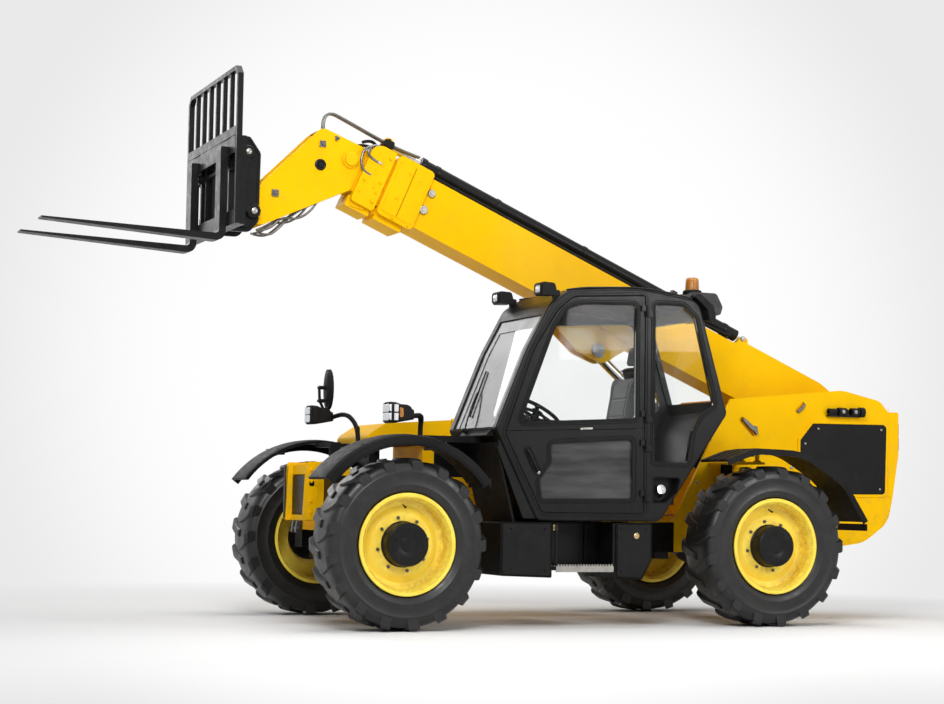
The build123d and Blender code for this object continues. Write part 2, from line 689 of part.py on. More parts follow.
# bosses on the cheeks: back from the lower pin, up from it, radius
cheek_bosses = [(0, 0, 48), (-50, 422, 44)]
with BuildPart() as carriage:
    for sign in sides.values():
        slab(cheek_outline, sign * cheek_in, sign * cheek_out)
        slab(eye_lug, sign * 36, sign * 58)
        for back, up, radius in cheek_bosses:
            cross_round(sign * cheek_out, sign * (cheek_out + 26), low_y + back, low_z + up, radius)
        # upright channels and end posts between the beams
        block(sign * (cheek_out + 60), sign * (cheek_out + 90), rack_face + 10, beam_back,
              lower_beam[1], upper_beam[0])
        block(sign * (cheek_out + 190), sign * (cheek_out + 220), rack_face + 10, beam_back,
              lower_beam[1], upper_beam[0])
        block(sign * (cheek_out + 60), sign * (cheek_out + 220), beam_back - 14, beam_back,
              lower_beam[1], upper_beam[0])
        block(sign * (beam_half - 30), sign * beam_half, rack_face + 20, beam_back,
              lower_beam[1], upper_beam[0])
    block(-beam_half, beam_half, beam_front, beam_back, *upper_beam)
    block(-beam_half, beam_half, beam_front, beam_back, *lower_beam)
    # plate between the cheeks, which carries the lugs
    block(-cheek_out, cheek_out, beam_back - 20, beam_back, lower_beam[1], upper_beam[0])
    cross_round(-cheek_out - 20, cheek_out + 20, *low_pin_at, low_pin_radius)
    # shaft that the forks hang on
    cross_round(-beam_half, beam_half, rack_face + 38, upper_beam[0] - 49, 20)
save(carriage.part, "carriage")

rack_top = low_z + 942
rack_low = low_z - 162
bar_count = 6
rack_rails = ((rack_top - backrest_tube, rack_top), (low_z + 458, low_z + 518))
with BuildPart() as load_backrest:
    rack_out = carriage_half + backrest_tube
    front, back = rack_face - backrest_tube / 2 - 5, rack_face + backrest_tube / 2 + 5 - fit_gap
    frame_shape = [(-rack_out, rack_low), (-rack_out, rack_top - 60), (-rack_out + 60, rack_top),
                   (rack_out - 60, rack_top), (rack_out, rack_top - 60), (rack_out, rack_low)]
    frame_hole = [(-carriage_half, rack_low - 1), (-carriage_half, rack_top - 72),
                  (-carriage_half + 42, rack_top - backrest_tube),
                  (carriage_half - 42, rack_top - backrest_tube), (carriage_half, rack_top - 72),
                  (carriage_half, rack_low - 1)]
    extrude(shape(station(front), frame_shape), amount=front - back)
    extrude(shape(station(front), frame_hole), amount=front - back, mode=Mode.SUBTRACT)
    block(-carriage_half, carriage_half, front, back, *rack_rails[1])
    for i in range(bar_count):
        x = carriage_half * (2 * (i + 1) / (bar_count + 1) - 1)
        block(x - 12, x + 12, rack_face - 15, rack_face + 15, rack_rails[1][1], rack_rails[0][0])
save(load_backrest.part, "load_backrest")

shank_front = shank_back - fork_thickness
blade_top = low_z - 210
shank_top = low_z + 398
with BuildPart() as forks:
    for sign in sides.values():
        x0 = sign * fork_half - fork_width / 2
        slab([(shank_back, shank_top), (shank_front, shank_top, 12), (shank_front, blade_top, 26),
              (fork_tip, blade_top + 38), (fork_tip, blade_top + 26), (shank_back, blade_top - 54, 70)],
             x0, x0 + fork_width)
save(forks.part, "forks")

# ================================================================ cab
cab_back = wheelbase - cab_rear_gap
# columns: behind the front axle, height, radius
cab_outline = [(1001, cab_floor, 50), (672, 1395, 30), (905, 1960, 900), (1090, 2300, 140),
               (1230, 2395, 160), (1800, 2440, 1500), (cab_back - 243, 2370, 110),
               (cab_back, 1550, 60), (cab_back - 553, cab_floor, 90)]
door_outline = [(1035, 812, 50), (745, 1365, 40), (955, 1955, 700), (1140, 2245, 140), (1265, 2350, 110),
                (door_axis[1] - 10, 2385, 20), (door_axis[1] - 10, 812, 20)]
upper_window = [(858, 1440, 30), (1105, 2090, 500), (1205, 2255, 110), (1330, 2300, 60),
                (door_axis[1] - 80, 2315, 30), (door_axis[1] - 80, 1490, 30)]
lower_window = [(1092, 1302, 35), (door_axis[1] - 102, 1345, 35), (door_axis[1] - 102, 915, 25),
                (1030, 905, 25), (1008, 1040, 50), (1100, 1165, 60)]
quarter_window = [(door_axis[1] + 68, 1180, 15), (door_axis[1] + 68, 2328, 30), (cab_back - 375, 2330, 60),
                  (cab_back - 272, 2240, 40), (cab_back - 112, 1605, 40), (cab_back - 225, 1535, 40),
                  (cab_back - 293, 1420, 50), (cab_back - 333, 1180, 25)]
filler_recess = [(door_axis[1] + 68, 895, 12), (door_axis[1] + 68, 1073, 12), (cab_back - 395, 1073, 20),
                 (cab_back - 425, 965, 30), (cab_back - 515, 895, 20)]
right_window = [(1000, 1500, 30), (1190, 2190, 60), (cab_back - 361, 2250, 60), (cab_back - 125, 1640, 40),
                (cab_back - 225, 1500, 40)]
window_inset = 60              # cab's side to the edge of the front and rear glass
screen_low = 1400
screen_high = 2215
rear_glass_low = 1640
rear_glass_high = 2230
belt_front = 1372              # height of the line between the two door leaves
belt_rear = 1425
door_lower_hinges = (900, 1260)
door_upper_hinges = (1470, 2230)
roof_slope = (2395 - 2300) / (1230 - 1090)


def roof_edge(y):
    """Height of the roof's sloping front edge."""
    return 2300 + (y - 1090) * roof_slope


def door_knuckles(heights):
    """Door halves of the hinges, standing on the post's halves."""
    for height in heights:
        base = height + hinge_knuckle + pin_gap
        block(cab_left, door_axis[0], door_axis[1] - 45, door_axis[1] - 15, base, base + hinge_knuckle)
        block(cab_left + 2, door_axis[0], door_axis[1] - 15, door_axis[1], base, base + hinge_knuckle)
        upright_round(*door_axis, base, base + hinge_knuckle, hinge_radius)


front_cut = [(500, screen_low), (760, screen_low), (1000, 1985, 600), (1130, screen_high),
             (500, screen_high)]
rear_cut = [(cab_back - 200, rear_glass_low), (cab_back + 200, rear_glass_low),
            (cab_back, rear_glass_high), (cab_back - 300, rear_glass_high)]
cab_mouth = (cab_right + window_inset, cab_left - window_inset)
with BuildPart() as cab_shell:
    slab(cab_outline, cab_right, cab_left)
    outer_edges = cab_shell.faces().sort_by(Axis.X)[-1].edges()
    fillet(outer_edges, radius=20)
    slab([(cab_back - 300, 2372), (cab_back - 266, 2440, 15), (cab_back - 63, 2440, 40),
          (cab_back - 10, 2340, 30), (cab_back - 28, 2285, 20), (cab_back - 200, 2230)], 700, 985)
    slab(inset(cab_outline, cab_wall), cab_right + cab_wall, cab_left - cab_wall, Mode.SUBTRACT)
    slab(door_outline, cab_left - cab_wall - 1, cab_left + 1, Mode.SUBTRACT)
    slab(quarter_window, cab_left - cab_wall - 1, cab_left + 1, Mode.SUBTRACT)
    slab(right_window, cab_right - 1, cab_right + cab_wall + 1, Mode.SUBTRACT)
    slab(front_cut, *cab_mouth, Mode.SUBTRACT)
    slab(rear_cut, *cab_mouth, Mode.SUBTRACT)
    # pocket for the filler behind the quarter window's lower edge
    slab(inset(filler_recess, -20), cab_left - 2 * cab_wall, cab_left - cab_wall)
    slab(filler_recess, cab_left - 2 * cab_wall + 10, cab_left + 1, Mode.SUBTRACT)
    for height in door_lower_hinges + door_upper_hinges:
        block(cab_left, door_axis[0], door_axis[1] + 5, door_axis[1] + 45, height, height + hinge_knuckle)
        upright_round(*door_axis, height, height + hinge_knuckle, hinge_radius)
save(cab_shell.part, "cab_shell")

door_skin = inset(door_outline, leaf_gap)
door_inner = cab_left - cab_wall
with BuildPart() as door_lower:
    slab(door_skin, door_inner, cab_left)
    slab([(500, belt_front - leaf_gap), (door_axis[1], belt_rear - leaf_gap), (door_axis[1], 2600),
          (500, 2600)], door_inner - 1, cab_left + 1, Mode.SUBTRACT)
    slab(lower_window, door_inner - 1, cab_left + 1, Mode.SUBTRACT)
    door_knuckles(door_lower_hinges)
save(door_lower.part, "door_lower")

with BuildPart() as door_upper:
    slab(door_skin, door_inner, cab_left)
    slab([(500, belt_front), (door_axis[1], belt_rear), (door_axis[1], 500), (500, 500)],
         door_inner - 1, cab_left + 1, Mode.SUBTRACT)
    slab(upper_window, door_inner - 1, cab_left + 1, Mode.SUBTRACT)
    door_knuckles(door_upper_hinges)
save(door_upper.part, "door_upper")

pane_x = cab_left - cab_wall / 2
for name, window in (("door_lower_glass", lower_window), ("door_upper_glass", upper_window)):
    with BuildPart() as door_pane:
        slab(inset(window, fit_gap), pane_x, pane_x + glass)
    save(door_pane.part, name)

glass_mouth = (cab_mouth[0] + fit_gap, cab_mouth[1] - fit_gap)
with BuildPart() as windscreen:
    slab(inset(cab_outline, glass_depth), *glass_mouth)
    slab(inset(cab_outline, glass_depth + glass), *glass_mouth, Mode.SUBTRACT)
    slab([(500, screen_low + fit_gap), (1300, screen_low + fit_gap), (1300, screen_high - fit_gap),
          (500, screen_high - fit_gap)], *glass_mouth, Mode.INTERSECT)
save(windscreen.part, "windscreen")

with BuildPart() as cab_glass:
    slab(inset(cab_outline, glass_depth), *glass_mouth)
    slab(inset(cab_outline, glass_depth + glass), *glass_mouth, Mode.SUBTRACT)
    slab([(cab_back - 300, rear_glass_low + fit_gap), (cab_back + 10, rear_glass_low + fit_gap),
          (cab_back + 10, rear_glass_high - fit_gap), (cab_back - 300, rear_glass_high - fit_gap)],
         *glass_mouth, Mode.INTERSECT)
    slab(inset(quarter_window, fit_gap), pane_x, pane_x + glass)
    slab(inset(right_window, fit_gap), cab_right + cab_wall / 2, cab_right + cab_wall / 2 + glass)
save(cab_glass.part, "cab_glass")

floor_top = cab_floor + cab_wall
seat_base_top = floor_top + 330
cushion_low = seat_base_top + fit_gap
cushion_top = cushion_low + 120
with BuildPart() as seat_base:
    slab([(1470, floor_top + fit_gap), (1500, seat_base_top), (1860, seat_base_top),
          (1840, floor_top + fit_gap)], 420, 830)
save(seat_base.part, "seat_base")

with BuildPart() as seat_cushion:
    slab([(1400, cushion_low, 30), (1400, cushion_top - 6, 40), (1620, cushion_top, 300),
          (1880, cushion_top, 20), (1880, cushion_low, 20)], 390, 860)
save(seat_cushion.part, "seat_cushion")

with BuildPart() as seat_back:
    slab([(1800, cushion_top + fit_gap, 20), (1905, cushion_top + fit_gap, 30), (2000, 1820, 40),
          (1905, 1830, 40), (1850, 1560, 200)], 400, 850)
save(seat_back.part, "seat_back")

column_foot = (620, 1120, 1425)
column_plane = Plane(origin=(column_foot[0], front_axle_y + column_foot[1], column_foot[2]),
                     x_dir=(1, 0, 0), z_dir=(0, 0.6, 1))
column_length = 130
wheel_rim_radius = 175
with BuildPart() as controls:
    slab([(1040, floor_top + fit_gap), (1140, floor_top + fit_gap), (1200, 1400, 40), (1040, 1450, 40),
          (880, 1330)], 380, 860)
    with BuildSketch(column_plane) as column:
        Circle(28)
    extrude(column.sketch, amount=column_length + 8)
    with BuildSketch(column_plane.offset(column_length - 8)) as spokes:
        Circle(44)
        for turn in (90, 210, 330):
            with Locations(Rotation(0, 0, turn)):
                with Locations((wheel_rim_radius / 2, 0)):
                    Rectangle(wheel_rim_radius, 26)
    extrude(spokes.sketch, amount=16)
    with BuildSketch(Plane(origin=column_plane.from_local_coords(Vector(wheel_rim_radius, 0, column_length)),
                           x_dir=(1, 0, 0), z_dir=column_plane.y_dir)) as rim_section:
        Circle(14)
    revolve(rim_section.sketch, axis=Axis(origin=column_plane.origin, direction=column_plane.z_dir))
save(controls.part, "controls")

beacon_at = (880, cab_back - 210)
with BuildPart() as beacon:
    beacon_plane = Plane(origin=(beacon_at[0], front_axle_y + beacon_at[1], 2440 + fit_gap),
                         x_dir=(1, 0, 0), z_dir=(0, -1, 0))
    revolve(shape(beacon_plane, [(0, 0), (60, 0), (60, 16), (50, 16), (46, 104, 14), (0, 118)]),
            axis=Axis(origin=beacon_plane.origin, direction=(0, 0, 1)))
save(beacon.part, "beacon")

# ================================================================ engine side
pod_front = 700
pod_back = wheelbase - 708
pod_left = -frame_half - fit_gap
pod_right = -1040
pod_top = 1300
pod_wall = 40
hood_hinges = (pod_front + 220, pod_back - 220)    # each hinge starts here with its fixed knuckle
pod_outline = [(pod_front + 20, 480, 30), (pod_back - 130, 480, 30), (pod_back, 760, 60),
               (pod_back, pod_top), (pod_front, pod_top), (pod_front, 800)]
with BuildPart() as engine:
    block(-880, -450, pod_front + 100, pod_back - 330, 520 + fit_gap, 1230)
save(engine.part, "engine")

louvre_pitch = 46
louvre_count = 8
with BuildPart() as engine_pod:
    slab(pod_outline, pod_right, pod_left)
    slab([(pod_front + 60, 520), (pod_back - 160, 520), (pod_back - 40, 780), (pod_back - 40, pod_top + 1),
          (pod_front + 60, pod_top + 1)], pod_right + pod_wall, pod_left - pod_wall, Mode.SUBTRACT)
    # cooling slots in the outer wall
    for i in range(louvre_count):
        z = 800 + i * louvre_pitch
        slab(rounded([(pod_front + 220, z), (pod_front + 820, z), (pod_front + 820, z + 18),
                      (pod_front + 220, z + 18)], 8), pod_right - 1, pod_right + pod_wall + 1, Mode.SUBTRACT)
    for start in hood_hinges:
        post = hood_axis[0] + run_gap
        block(-frame_half - 10, post + 14, start, start + hood_knuckle, 1230, 1285)
        block(post, post + 14, start, start + hood_knuckle, 1230, hood_axis[1])
        along_round(*hood_axis, start, start + hood_knuckle, hinge_radius)
save(engine_pod.part, "engine_pod")

hood_seat = pod_top + pin_gap
hood_back = pod_back + 150
hood_outline = [(230, hood_seat), (232, 1365, 60), (380, 1462, 90), (900, hood_axis[1], 900),
                (hood_back - 130, hood_axis[1], 120), (hood_back, 1430, 60), (hood_back, hood_seat)]
with BuildPart() as hood:
    slab(hood_outline, pod_right, -frame_half + 40)
    slab([(260, pod_top), (262, 1350), (400, 1428), (900, hood_axis[1] - hood_wall),
          (hood_back - 150, hood_axis[1] - hood_wall), (hood_back - 30, 1410), (hood_back - 30, pod_top)],
         pod_right + hood_wall, -frame_half + 10, Mode.SUBTRACT)
    for start in hood_hinges:
        meet = start + hood_knuckle + pin_gap
        along_round(*hood_axis, start - run_gap, meet, hinge_radius + run_gap, Mode.SUBTRACT)
        along_round(*hood_axis, meet, start + 2 * hood_knuckle, hinge_radius)
save(hood.part, "hood")

# ================================================================ left side boxes, fenders, lamps
box_back = wheelbase - 981
step_back = box_back - 292
with BuildPart() as side_boxes:
    slab([(720, 372, 20), (1115, 358, 12), (1115, 745, 12), (720, 745, 12)], 560, cab_left)
    slab([(1115, 410), (step_back, 410), (step_back, 435), (1115, 435)], 760, cab_left)
    slab([(1115, 410), (step_back, 410), (step_back, 745), (1115, 745)], 560, 760)
    slab([(step_back, 350, 12), (box_back - 79, 342, 20), (box_back, 484, 20), (box_back, 745, 12),
          (step_back, 745)], 560, cab_left)
    slab([(760, 600), (box_back - 47, 600), (box_back - 47, 640), (760, 640)], frame_half + fit_gap, 560)
    # slots in the step's tread
    for i in range(6):
        y = 1115 + (i + 0.5) * (step_back - 1115) / 6
        block(830, 1010, y - 22, y + 22, 405, 440, Mode.SUBTRACT)
save(side_boxes.part, "side_boxes")

fender_in = 750
fender_out = 1150
fender_sheet = 18
fender_lip = 44
fender_bracket = 35
fender_ribs = (850, 950, 1050)    # across, on a fender's crown


def fender_strip(centre, radius, start, stop, thickness, x0, x1):
    """Part of a fender: a strip on an arc, its bearings measured from straight up."""
    with BuildSketch(side(x0)) as strip:
        with BuildLine():
            for reach in (radius, radius - thickness):
                CenterArc(centre, reach, 90 - stop, stop - start)
            for bearing in (90 - start, 90 - stop):
                Line((centre[0] + radius * cos(radians(bearing)),
                      centre[1] + radius * sin(radians(bearing))),
                     (centre[0] + (radius - thickness) * cos(radians(bearing)),
                      centre[1] + (radius - thickness) * sin(radians(bearing))))
        make_face()
    extrude(strip.sketch, amount=x1 - x0)


def fender_arms(end, arm_top, sign):
    """Arm from the frame's side plate out to a fender."""
    mount = axles[end]
    block(sign * (frame_half + fit_gap), sign * (fender_in + 10), mount - 40, mount + 40,
          arm_top - fender_bracket, arm_top)
    block(sign * (frame_half + fit_gap), sign * (frame_half + 40), mount - 40, mount + 40, 790, arm_top)


front_arm_top = axle_height + 736 - fender_sheet + 5
with BuildPart() as front_fenders:
    for sign in sides.values():
        arch = ((5, axle_height), 736, -53, 54)
        fender_strip(*arch, fender_sheet, sign * fender_in, sign * fender_out)
        fender_strip(*arch, fender_lip, sign * (fender_out - 12), sign * fender_out)
        for x in fender_ribs:
            fender_strip(arch[0], arch[1] + 5, arch[2] + 3, arch[3] - 3, 8, sign * (x - 14), sign * (x + 14))
        fender_arms("front", front_arm_top, sign)
    # shelf for the right-hand lamp's arm, ahead of the hood
    block(-frame_half - fit_gap, -520, 40, 215, front_arm_top - fender_bracket, front_arm_top - 8)
save(front_fenders.part, "front_fenders")

# columns: behind the front axle, height, radius
rear_arch = [(wheelbase - 418, 1215), (wheelbase - 188, 1300, 400), (wheelbase + 232, 1290, 500),
             (wheelbase + 592, 1080, 400), (wheelbase + 792, 780)]
rear_arm_top = 1284
with BuildPart() as rear_fenders:
    for sign in sides.values():
        slab(band(rear_arch, fender_sheet), sign * fender_in, sign * fender_out)
        slab(band(rear_arch, fender_lip), sign * (fender_out - 12), sign * fender_out)
        for x in fender_ribs:
            slab([(y, z + 5, *r) for y, z, *r in band(rear_arch, 10)], sign * (x - 14), sign * (x + 14))
        fender_arms("rear", rear_arm_top, sign)
save(rear_fenders.part, "rear_fenders")

front_cover_top = 1343
with BuildPart() as front_cover:
    slab([(50, 1298), (50, 1308, 8), (90, front_cover_top, 20), (690, front_cover_top), (712, 1298)],
         cab_right, 740)
    # bulkhead behind the front wheel, from the frame out to the cab's side
    slab([(690, 1300), (706, 1300), (850, 746), (834, 746)], frame_half + fit_gap, 1000)
    slab([(834, 746), (850, 746), (850, 650), (834, 650)], frame_half + fit_gap, 540)
save(front_cover.part, "front_cover")

lamp_x = 862
lamp_z = 1488
# columns: hand, points of the arm (x, y, z)
arms = [(1, [(lamp_x, 110, 1470), (lamp_x - 40, 190, 1480), (700, 245, 1440),
             (700, 245, front_cover_top + fit_gap)]),
        (-1, [(-lamp_x, 110, 1510), (-lamp_x + 90, 150, 1532), (-600, 170, 1520), (-455, 195, 1420),
              (-455, 195, front_arm_top - 8 + fit_gap)])]
with BuildPart() as lamps:
    for sign, points in arms:
        rise = 0 if sign > 0 else 40
        with BuildSketch(station(-60)) as lamp_face:
            with Locations((sign * lamp_x, lamp_z + rise)):
                RectangleRounded(150, 146, 22)
        with BuildSketch(station(-20)) as lamp_back:
            with Locations((sign * lamp_x, lamp_z + rise)):
                RectangleRounded(146, 142, 22)
        with BuildSketch(station(120)) as lamp_tail:
            with Locations((sign * lamp_x, lamp_z + rise - 10)):
                RectangleRounded(76, 70, 16)
        loft([lamp_face.sketch, lamp_back.sketch, lamp_tail.sketch], ruled=True)
        bent_tube(points, 14)
    # mirror on a post above the right-hand lamp
    mirror_post = [(-lamp_x, 60, 1560), (-lamp_x, 20, 1640), (-lamp_x, 15, 1742), (-lamp_x, 80, 1742)]
    bent_tube(mirror_post, 11)
    with BuildSketch(station(78)) as mirror:
        with Locations((-lamp_x, 1730)):
            Ellipse(88, 155)
    extrude(mirror.sketch, amount=-26)
save(lamps.part, "lamps")

with BuildPart() as work_lamps:
    for x in (250, 1000):
        slab([(1012, 2345, 14), (1012, 2440, 14), (1110, 2436, 24), (1135, 2350, 14)], x - 62, x + 62)
        slab([(1125, roof_edge(1125) + fit_gap), (1170, roof_edge(1170) + fit_gap), (1170, 2390, 12),
              (1110, 2390), (1110, 2360), (1125, 2360)], x - 20, x + 20)
save(work_lamps.part, "work_lamps")

panel_front = wheelbase + 672
with BuildPart() as side_panels:
    for sign in sides.values():
        slab([(panel_front, 1397, 12), (panel_front + 114, 1528, 12), (rear_reach - 122, 1535, 34),
              (rear_reach - 138, 985, 30), (panel_front + 250, 978, 20), (panel_front, 1220, 12)],
             sign * (frame_half + fit_gap), sign * (frame_half + 12))
save(side_panels.part, "side_panels")

hitch_face = rear_reach - 180 + fit_gap
with BuildPart() as tow_hitch:
    block(-80, 80, hitch_face, hitch_face + 30, 775, 945)
    for height in (790, 900):
        block(-60, 60, hitch_face + 30, rear_reach - 10, height, height + 25)
    upright_round(0, rear_reach - 55, 785, 935, hitch_radius, Mode.SUBTRACT)
save(tow_hitch.part, "tow_hitch")
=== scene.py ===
"""Dressing for the telescopic handler: finishes, small fittings, studio and camera.

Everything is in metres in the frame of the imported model: +Z up, forks towards -Y and
the cab on the +X side.
"""
import json
import math

import bmesh
import bpy
from mathutils import Matrix, Vector


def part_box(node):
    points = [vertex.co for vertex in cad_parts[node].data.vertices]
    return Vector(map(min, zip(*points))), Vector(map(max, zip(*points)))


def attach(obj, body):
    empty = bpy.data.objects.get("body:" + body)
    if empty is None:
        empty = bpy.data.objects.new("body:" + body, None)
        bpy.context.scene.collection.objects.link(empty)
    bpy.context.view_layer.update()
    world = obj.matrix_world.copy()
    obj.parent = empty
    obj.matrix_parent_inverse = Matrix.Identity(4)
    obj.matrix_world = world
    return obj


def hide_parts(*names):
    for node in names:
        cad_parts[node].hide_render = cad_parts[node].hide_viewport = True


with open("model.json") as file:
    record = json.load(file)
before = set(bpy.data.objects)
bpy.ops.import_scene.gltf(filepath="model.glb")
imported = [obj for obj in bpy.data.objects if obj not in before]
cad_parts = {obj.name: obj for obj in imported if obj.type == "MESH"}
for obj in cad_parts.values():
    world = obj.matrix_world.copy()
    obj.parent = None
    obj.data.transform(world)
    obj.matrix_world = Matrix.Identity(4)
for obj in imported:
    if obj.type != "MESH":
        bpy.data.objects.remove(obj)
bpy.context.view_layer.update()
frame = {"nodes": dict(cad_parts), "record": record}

MM = 0.001
BOOM_ANGLE = math.radians(23.2)


joints = {joint["name"]: joint for joint in frame["record"]["behaviour"]["joints"]}
FRONT_AXLE = Vector((0, *joints["front_left_steer"]["pos_m"][1:]))
REAR_AXLE = Vector((0, *joints["rear_left_steer"]["pos_m"][1:]))


# ------------------------------------------------------------------ materials
class Paint:
    """A material under construction: its Principled shader and helpers to feed it."""

    def __init__(self, name):
        self.material = bpy.data.materials.new(name)
        self.material.use_nodes = True
        self.tree = self.material.node_tree
        self.shader = self.tree.nodes["Principled BSDF"]
        self.output = self.tree.nodes["Material Output"]
        coords = self.tree.nodes.new("ShaderNodeTexCoord")
        self.place = coords.outputs["Object"]

    def node(self, kind, **settings):
        made = self.tree.nodes.new(kind)
        for key, value in settings.items():
            setattr(made, key, value)
        return made

    def link(self, source, target):
        self.tree.links.new(source, target)

    def noise(self, scale, detail=3.0, roughness=0.55, stretch=None):
        made = self.node("ShaderNodeTexNoise")
        made.inputs["Scale"].default_value = scale
        made.inputs["Detail"].default_value = detail
        made.inputs["Roughness"].default_value = roughness
        source = self.place
        if stretch:
            mapping = self.node("ShaderNodeMapping")
            mapping.inputs["Scale"].default_value = stretch
            self.link(self.place, mapping.inputs["Vector"])
            source = mapping.outputs["Vector"]
        self.link(source, made.inputs["Vector"])
        return made.outputs["Fac"]

    def ramp(self, source, low, high, start=0.0, end=1.0):
        """A number remapped from the span low..high to start..end, held at both ends."""
        made = self.node("ShaderNodeMapRange")
        made.clamp = True
        for key, value in (("From Min", low), ("From Max", high), ("To Min", start), ("To Max", end)):
            made.inputs[key].default_value = value
        self.link(source, made.inputs["Value"])
        return made.outputs["Result"]

    def math(self, operation, first, second):
        made = self.node("ShaderNodeMath", operation=operation)
        for socket, value in zip(made.inputs, (first, second)):
            if isinstance(value, (int, float)):
                socket.default_value = value
            else:
                self.link(value, socket)
        return made.outputs[0]

    def mix(self, amount, first, second):
        """A colour between two colours, each a tuple or a socket."""
        made = self.node("ShaderNodeMix", data_type="RGBA")
        self.link(amount, made.inputs["Factor"])
        for key, value in (("A", first), ("B", second)):
            socket = [s for s in made.inputs if s.name == key and s.type == "RGBA"][0]
            if isinstance(value, tuple):
                socket.default_value = (*value, 1.0)
            else:
                self.link(value, socket)
        return [s for s in made.outputs if s.type == "RGBA"][0]

    def bump(self, height, strength, distance):
        made = self.node("ShaderNodeBump")
        made.inputs["Strength"].default_value = strength
        made.inputs["Distance"].default_value = distance
        self.link(height, made.inputs["Height"])
        if self.shader.inputs["Normal"].is_linked:
            self.link(self.shader.inputs["Normal"].links[0].from_socket, made.inputs["Normal"])
        self.link(made.outputs["Normal"], self.shader.inputs["Normal"])

    def colour(self, source):
        self.link(source, self.shader.inputs["Base Color"])

    def roughness(self, source):
        self.link(source, self.shader.inputs["Roughness"])

    def set(self, **values):
        for key, value in values.items():
            self.shader.inputs[key.replace("_", " ")].default_value = value

    def upward(self):
        """How far the surface faces up, from -1 to 1."""
        geometry = self.node("ShaderNodeNewGeometry")
        split = self.node("ShaderNodeSeparateXYZ")
        self.link(geometry.outputs["Normal"], split.inputs["Vector"])
        return split.outputs["Z"]

    def height(self):
        split = self.node("ShaderNodeSeparateXYZ")
        self.link(self.place, split.inputs["Vector"])
        return split.outputs["Z"]

    def reach_from(self, centre):
        """Distance from an axle's line."""
        flat = self.node("ShaderNodeVectorMath", operation="MULTIPLY")
        flat.inputs[1].default_value = (0, 1, 1)
        self.link(self.place, flat.inputs[0])
        away = self.node("ShaderNodeVectorMath", operation="DISTANCE")
        away.inputs[1].default_value = (0, centre.y, centre.z)
        self.link(flat.outputs["Vector"], away.inputs[0])
        return away.outputs["Value"]

    def band_at(self, source, middle, half):
        """1 where a number is at the middle, falling to 0 at half a band away."""
        off = self.math("ABSOLUTE", self.math("SUBTRACT", source, middle), 0)
        return self.ramp(off, half, 0)

    def edges(self):
        """1 on sharp convex edges, 0 on flats, broken up by noise."""
        geometry = self.node("ShaderNodeNewGeometry")
        sharp = self.ramp(geometry.outputs["Pointiness"], 0.53, 0.60)
        return self.math("MULTIPLY", sharp, self.ramp(self.noise(38, 4), 0.45, 0.62))


def coated(name, base, deep, grime, rough=(0.36, 0.52), coat=0.03, gloss=0.03):
    """Sprayed steel: two close tones, dust low down and in patches, orange peel in the coat."""
    p = Paint(name)
    tone = p.mix(p.ramp(p.noise(1.7, 4), 0.35, 0.70), base, deep)
    dusty = p.math("MULTIPLY", p.ramp(p.noise(9, 6, 0.65), 0.50, 0.78), p.ramp(p.height(), 1.5, 0.3, 0.10, 0.75))
    p.colour(p.mix(dusty, tone, grime))
    p.roughness(p.ramp(p.noise(14, 5), 0.3, 0.7, *rough))
    p.set(Coat_Weight=coat, Coat_Roughness=0.09, Specular_IOR_Level=gloss, Specular_Tint=(1.0, 0.74, 0.22, 1.0))
    p.bump(p.noise(420, 2), 0.08, 0.0004)
    p.bump(p.noise(5, 2), 0.25, 0.0025)
    return p.material


def black_paint(name, gloss=0.16, coat=0.04):
    """Sprayed black with a thin film of dust near the ground."""
    p = Paint(name)
    tone = p.mix(p.ramp(p.noise(2.2, 5), 0.35, 0.7), (0.0050, 0.0050, 0.0054), (0.0092, 0.0090, 0.0088))
    dust = p.math("MULTIPLY", p.ramp(p.noise(11, 6, 0.7), 0.52, 0.82), p.ramp(p.height(), 1.4, 0.3, 0.12, 0.55))
    p.colour(p.mix(dust, tone, (0.030, 0.026, 0.021)))
    p.roughness(p.ramp(p.noise(17, 5), 0.3, 0.7, 0.30, 0.46))
    p.set(Coat_Weight=coat, Coat_Roughness=0.12, Specular_IOR_Level=gloss)
    p.bump(p.noise(380, 2), 0.10, 0.0004)
    return p.material


def black_plastic(name, gloss=0.08):
    """Moulded plastic or rubber trim with a fine grain."""
    p = Paint(name)
    tone = p.mix(p.ramp(p.noise(3, 5), 0.35, 0.7), (0.0085, 0.0085, 0.0090), (0.016, 0.0158, 0.0155))
    dust = p.math("MULTIPLY", p.ramp(p.noise(13, 6, 0.7), 0.50, 0.85), p.ramp(p.height(), 1.3, 0.2, 0.10, 0.5))
    p.colour(p.mix(dust, tone, (0.034, 0.030, 0.025)))
    p.roughness(p.ramp(p.noise(21, 5), 0.3, 0.7, 0.40, 0.58))
    grain = p.node("ShaderNodeTexVoronoi")
    grain.inputs["Scale"].default_value = 520
    p.link(p.place, grain.inputs["Vector"])
    p.set(Specular_IOR_Level=gloss)
    p.bump(grain.outputs["Distance"], 0.16, 0.0004)
    return p.material


def rubber(name):
    p = Paint(name)
    tone = p.mix(p.ramp(p.noise(4.5, 6), 0.35, 0.7), (0.0085, 0.0085, 0.0090), (0.0145, 0.0143, 0.0140))
    dust = p.ramp(p.noise(16, 7, 0.72), 0.50, 0.80)
    p.colour(p.mix(dust, tone, (0.024, 0.0228, 0.0215)))
    p.roughness(p.ramp(p.noise(24, 5), 0.3, 0.7, 0.30, 0.46))
    p.set(Specular_IOR_Level=0.4)
    p.bump(p.noise(240, 3), 0.20, 0.0006)
    p.bump(p.noise(40, 4), 0.20, 0.0015)
    return p.material


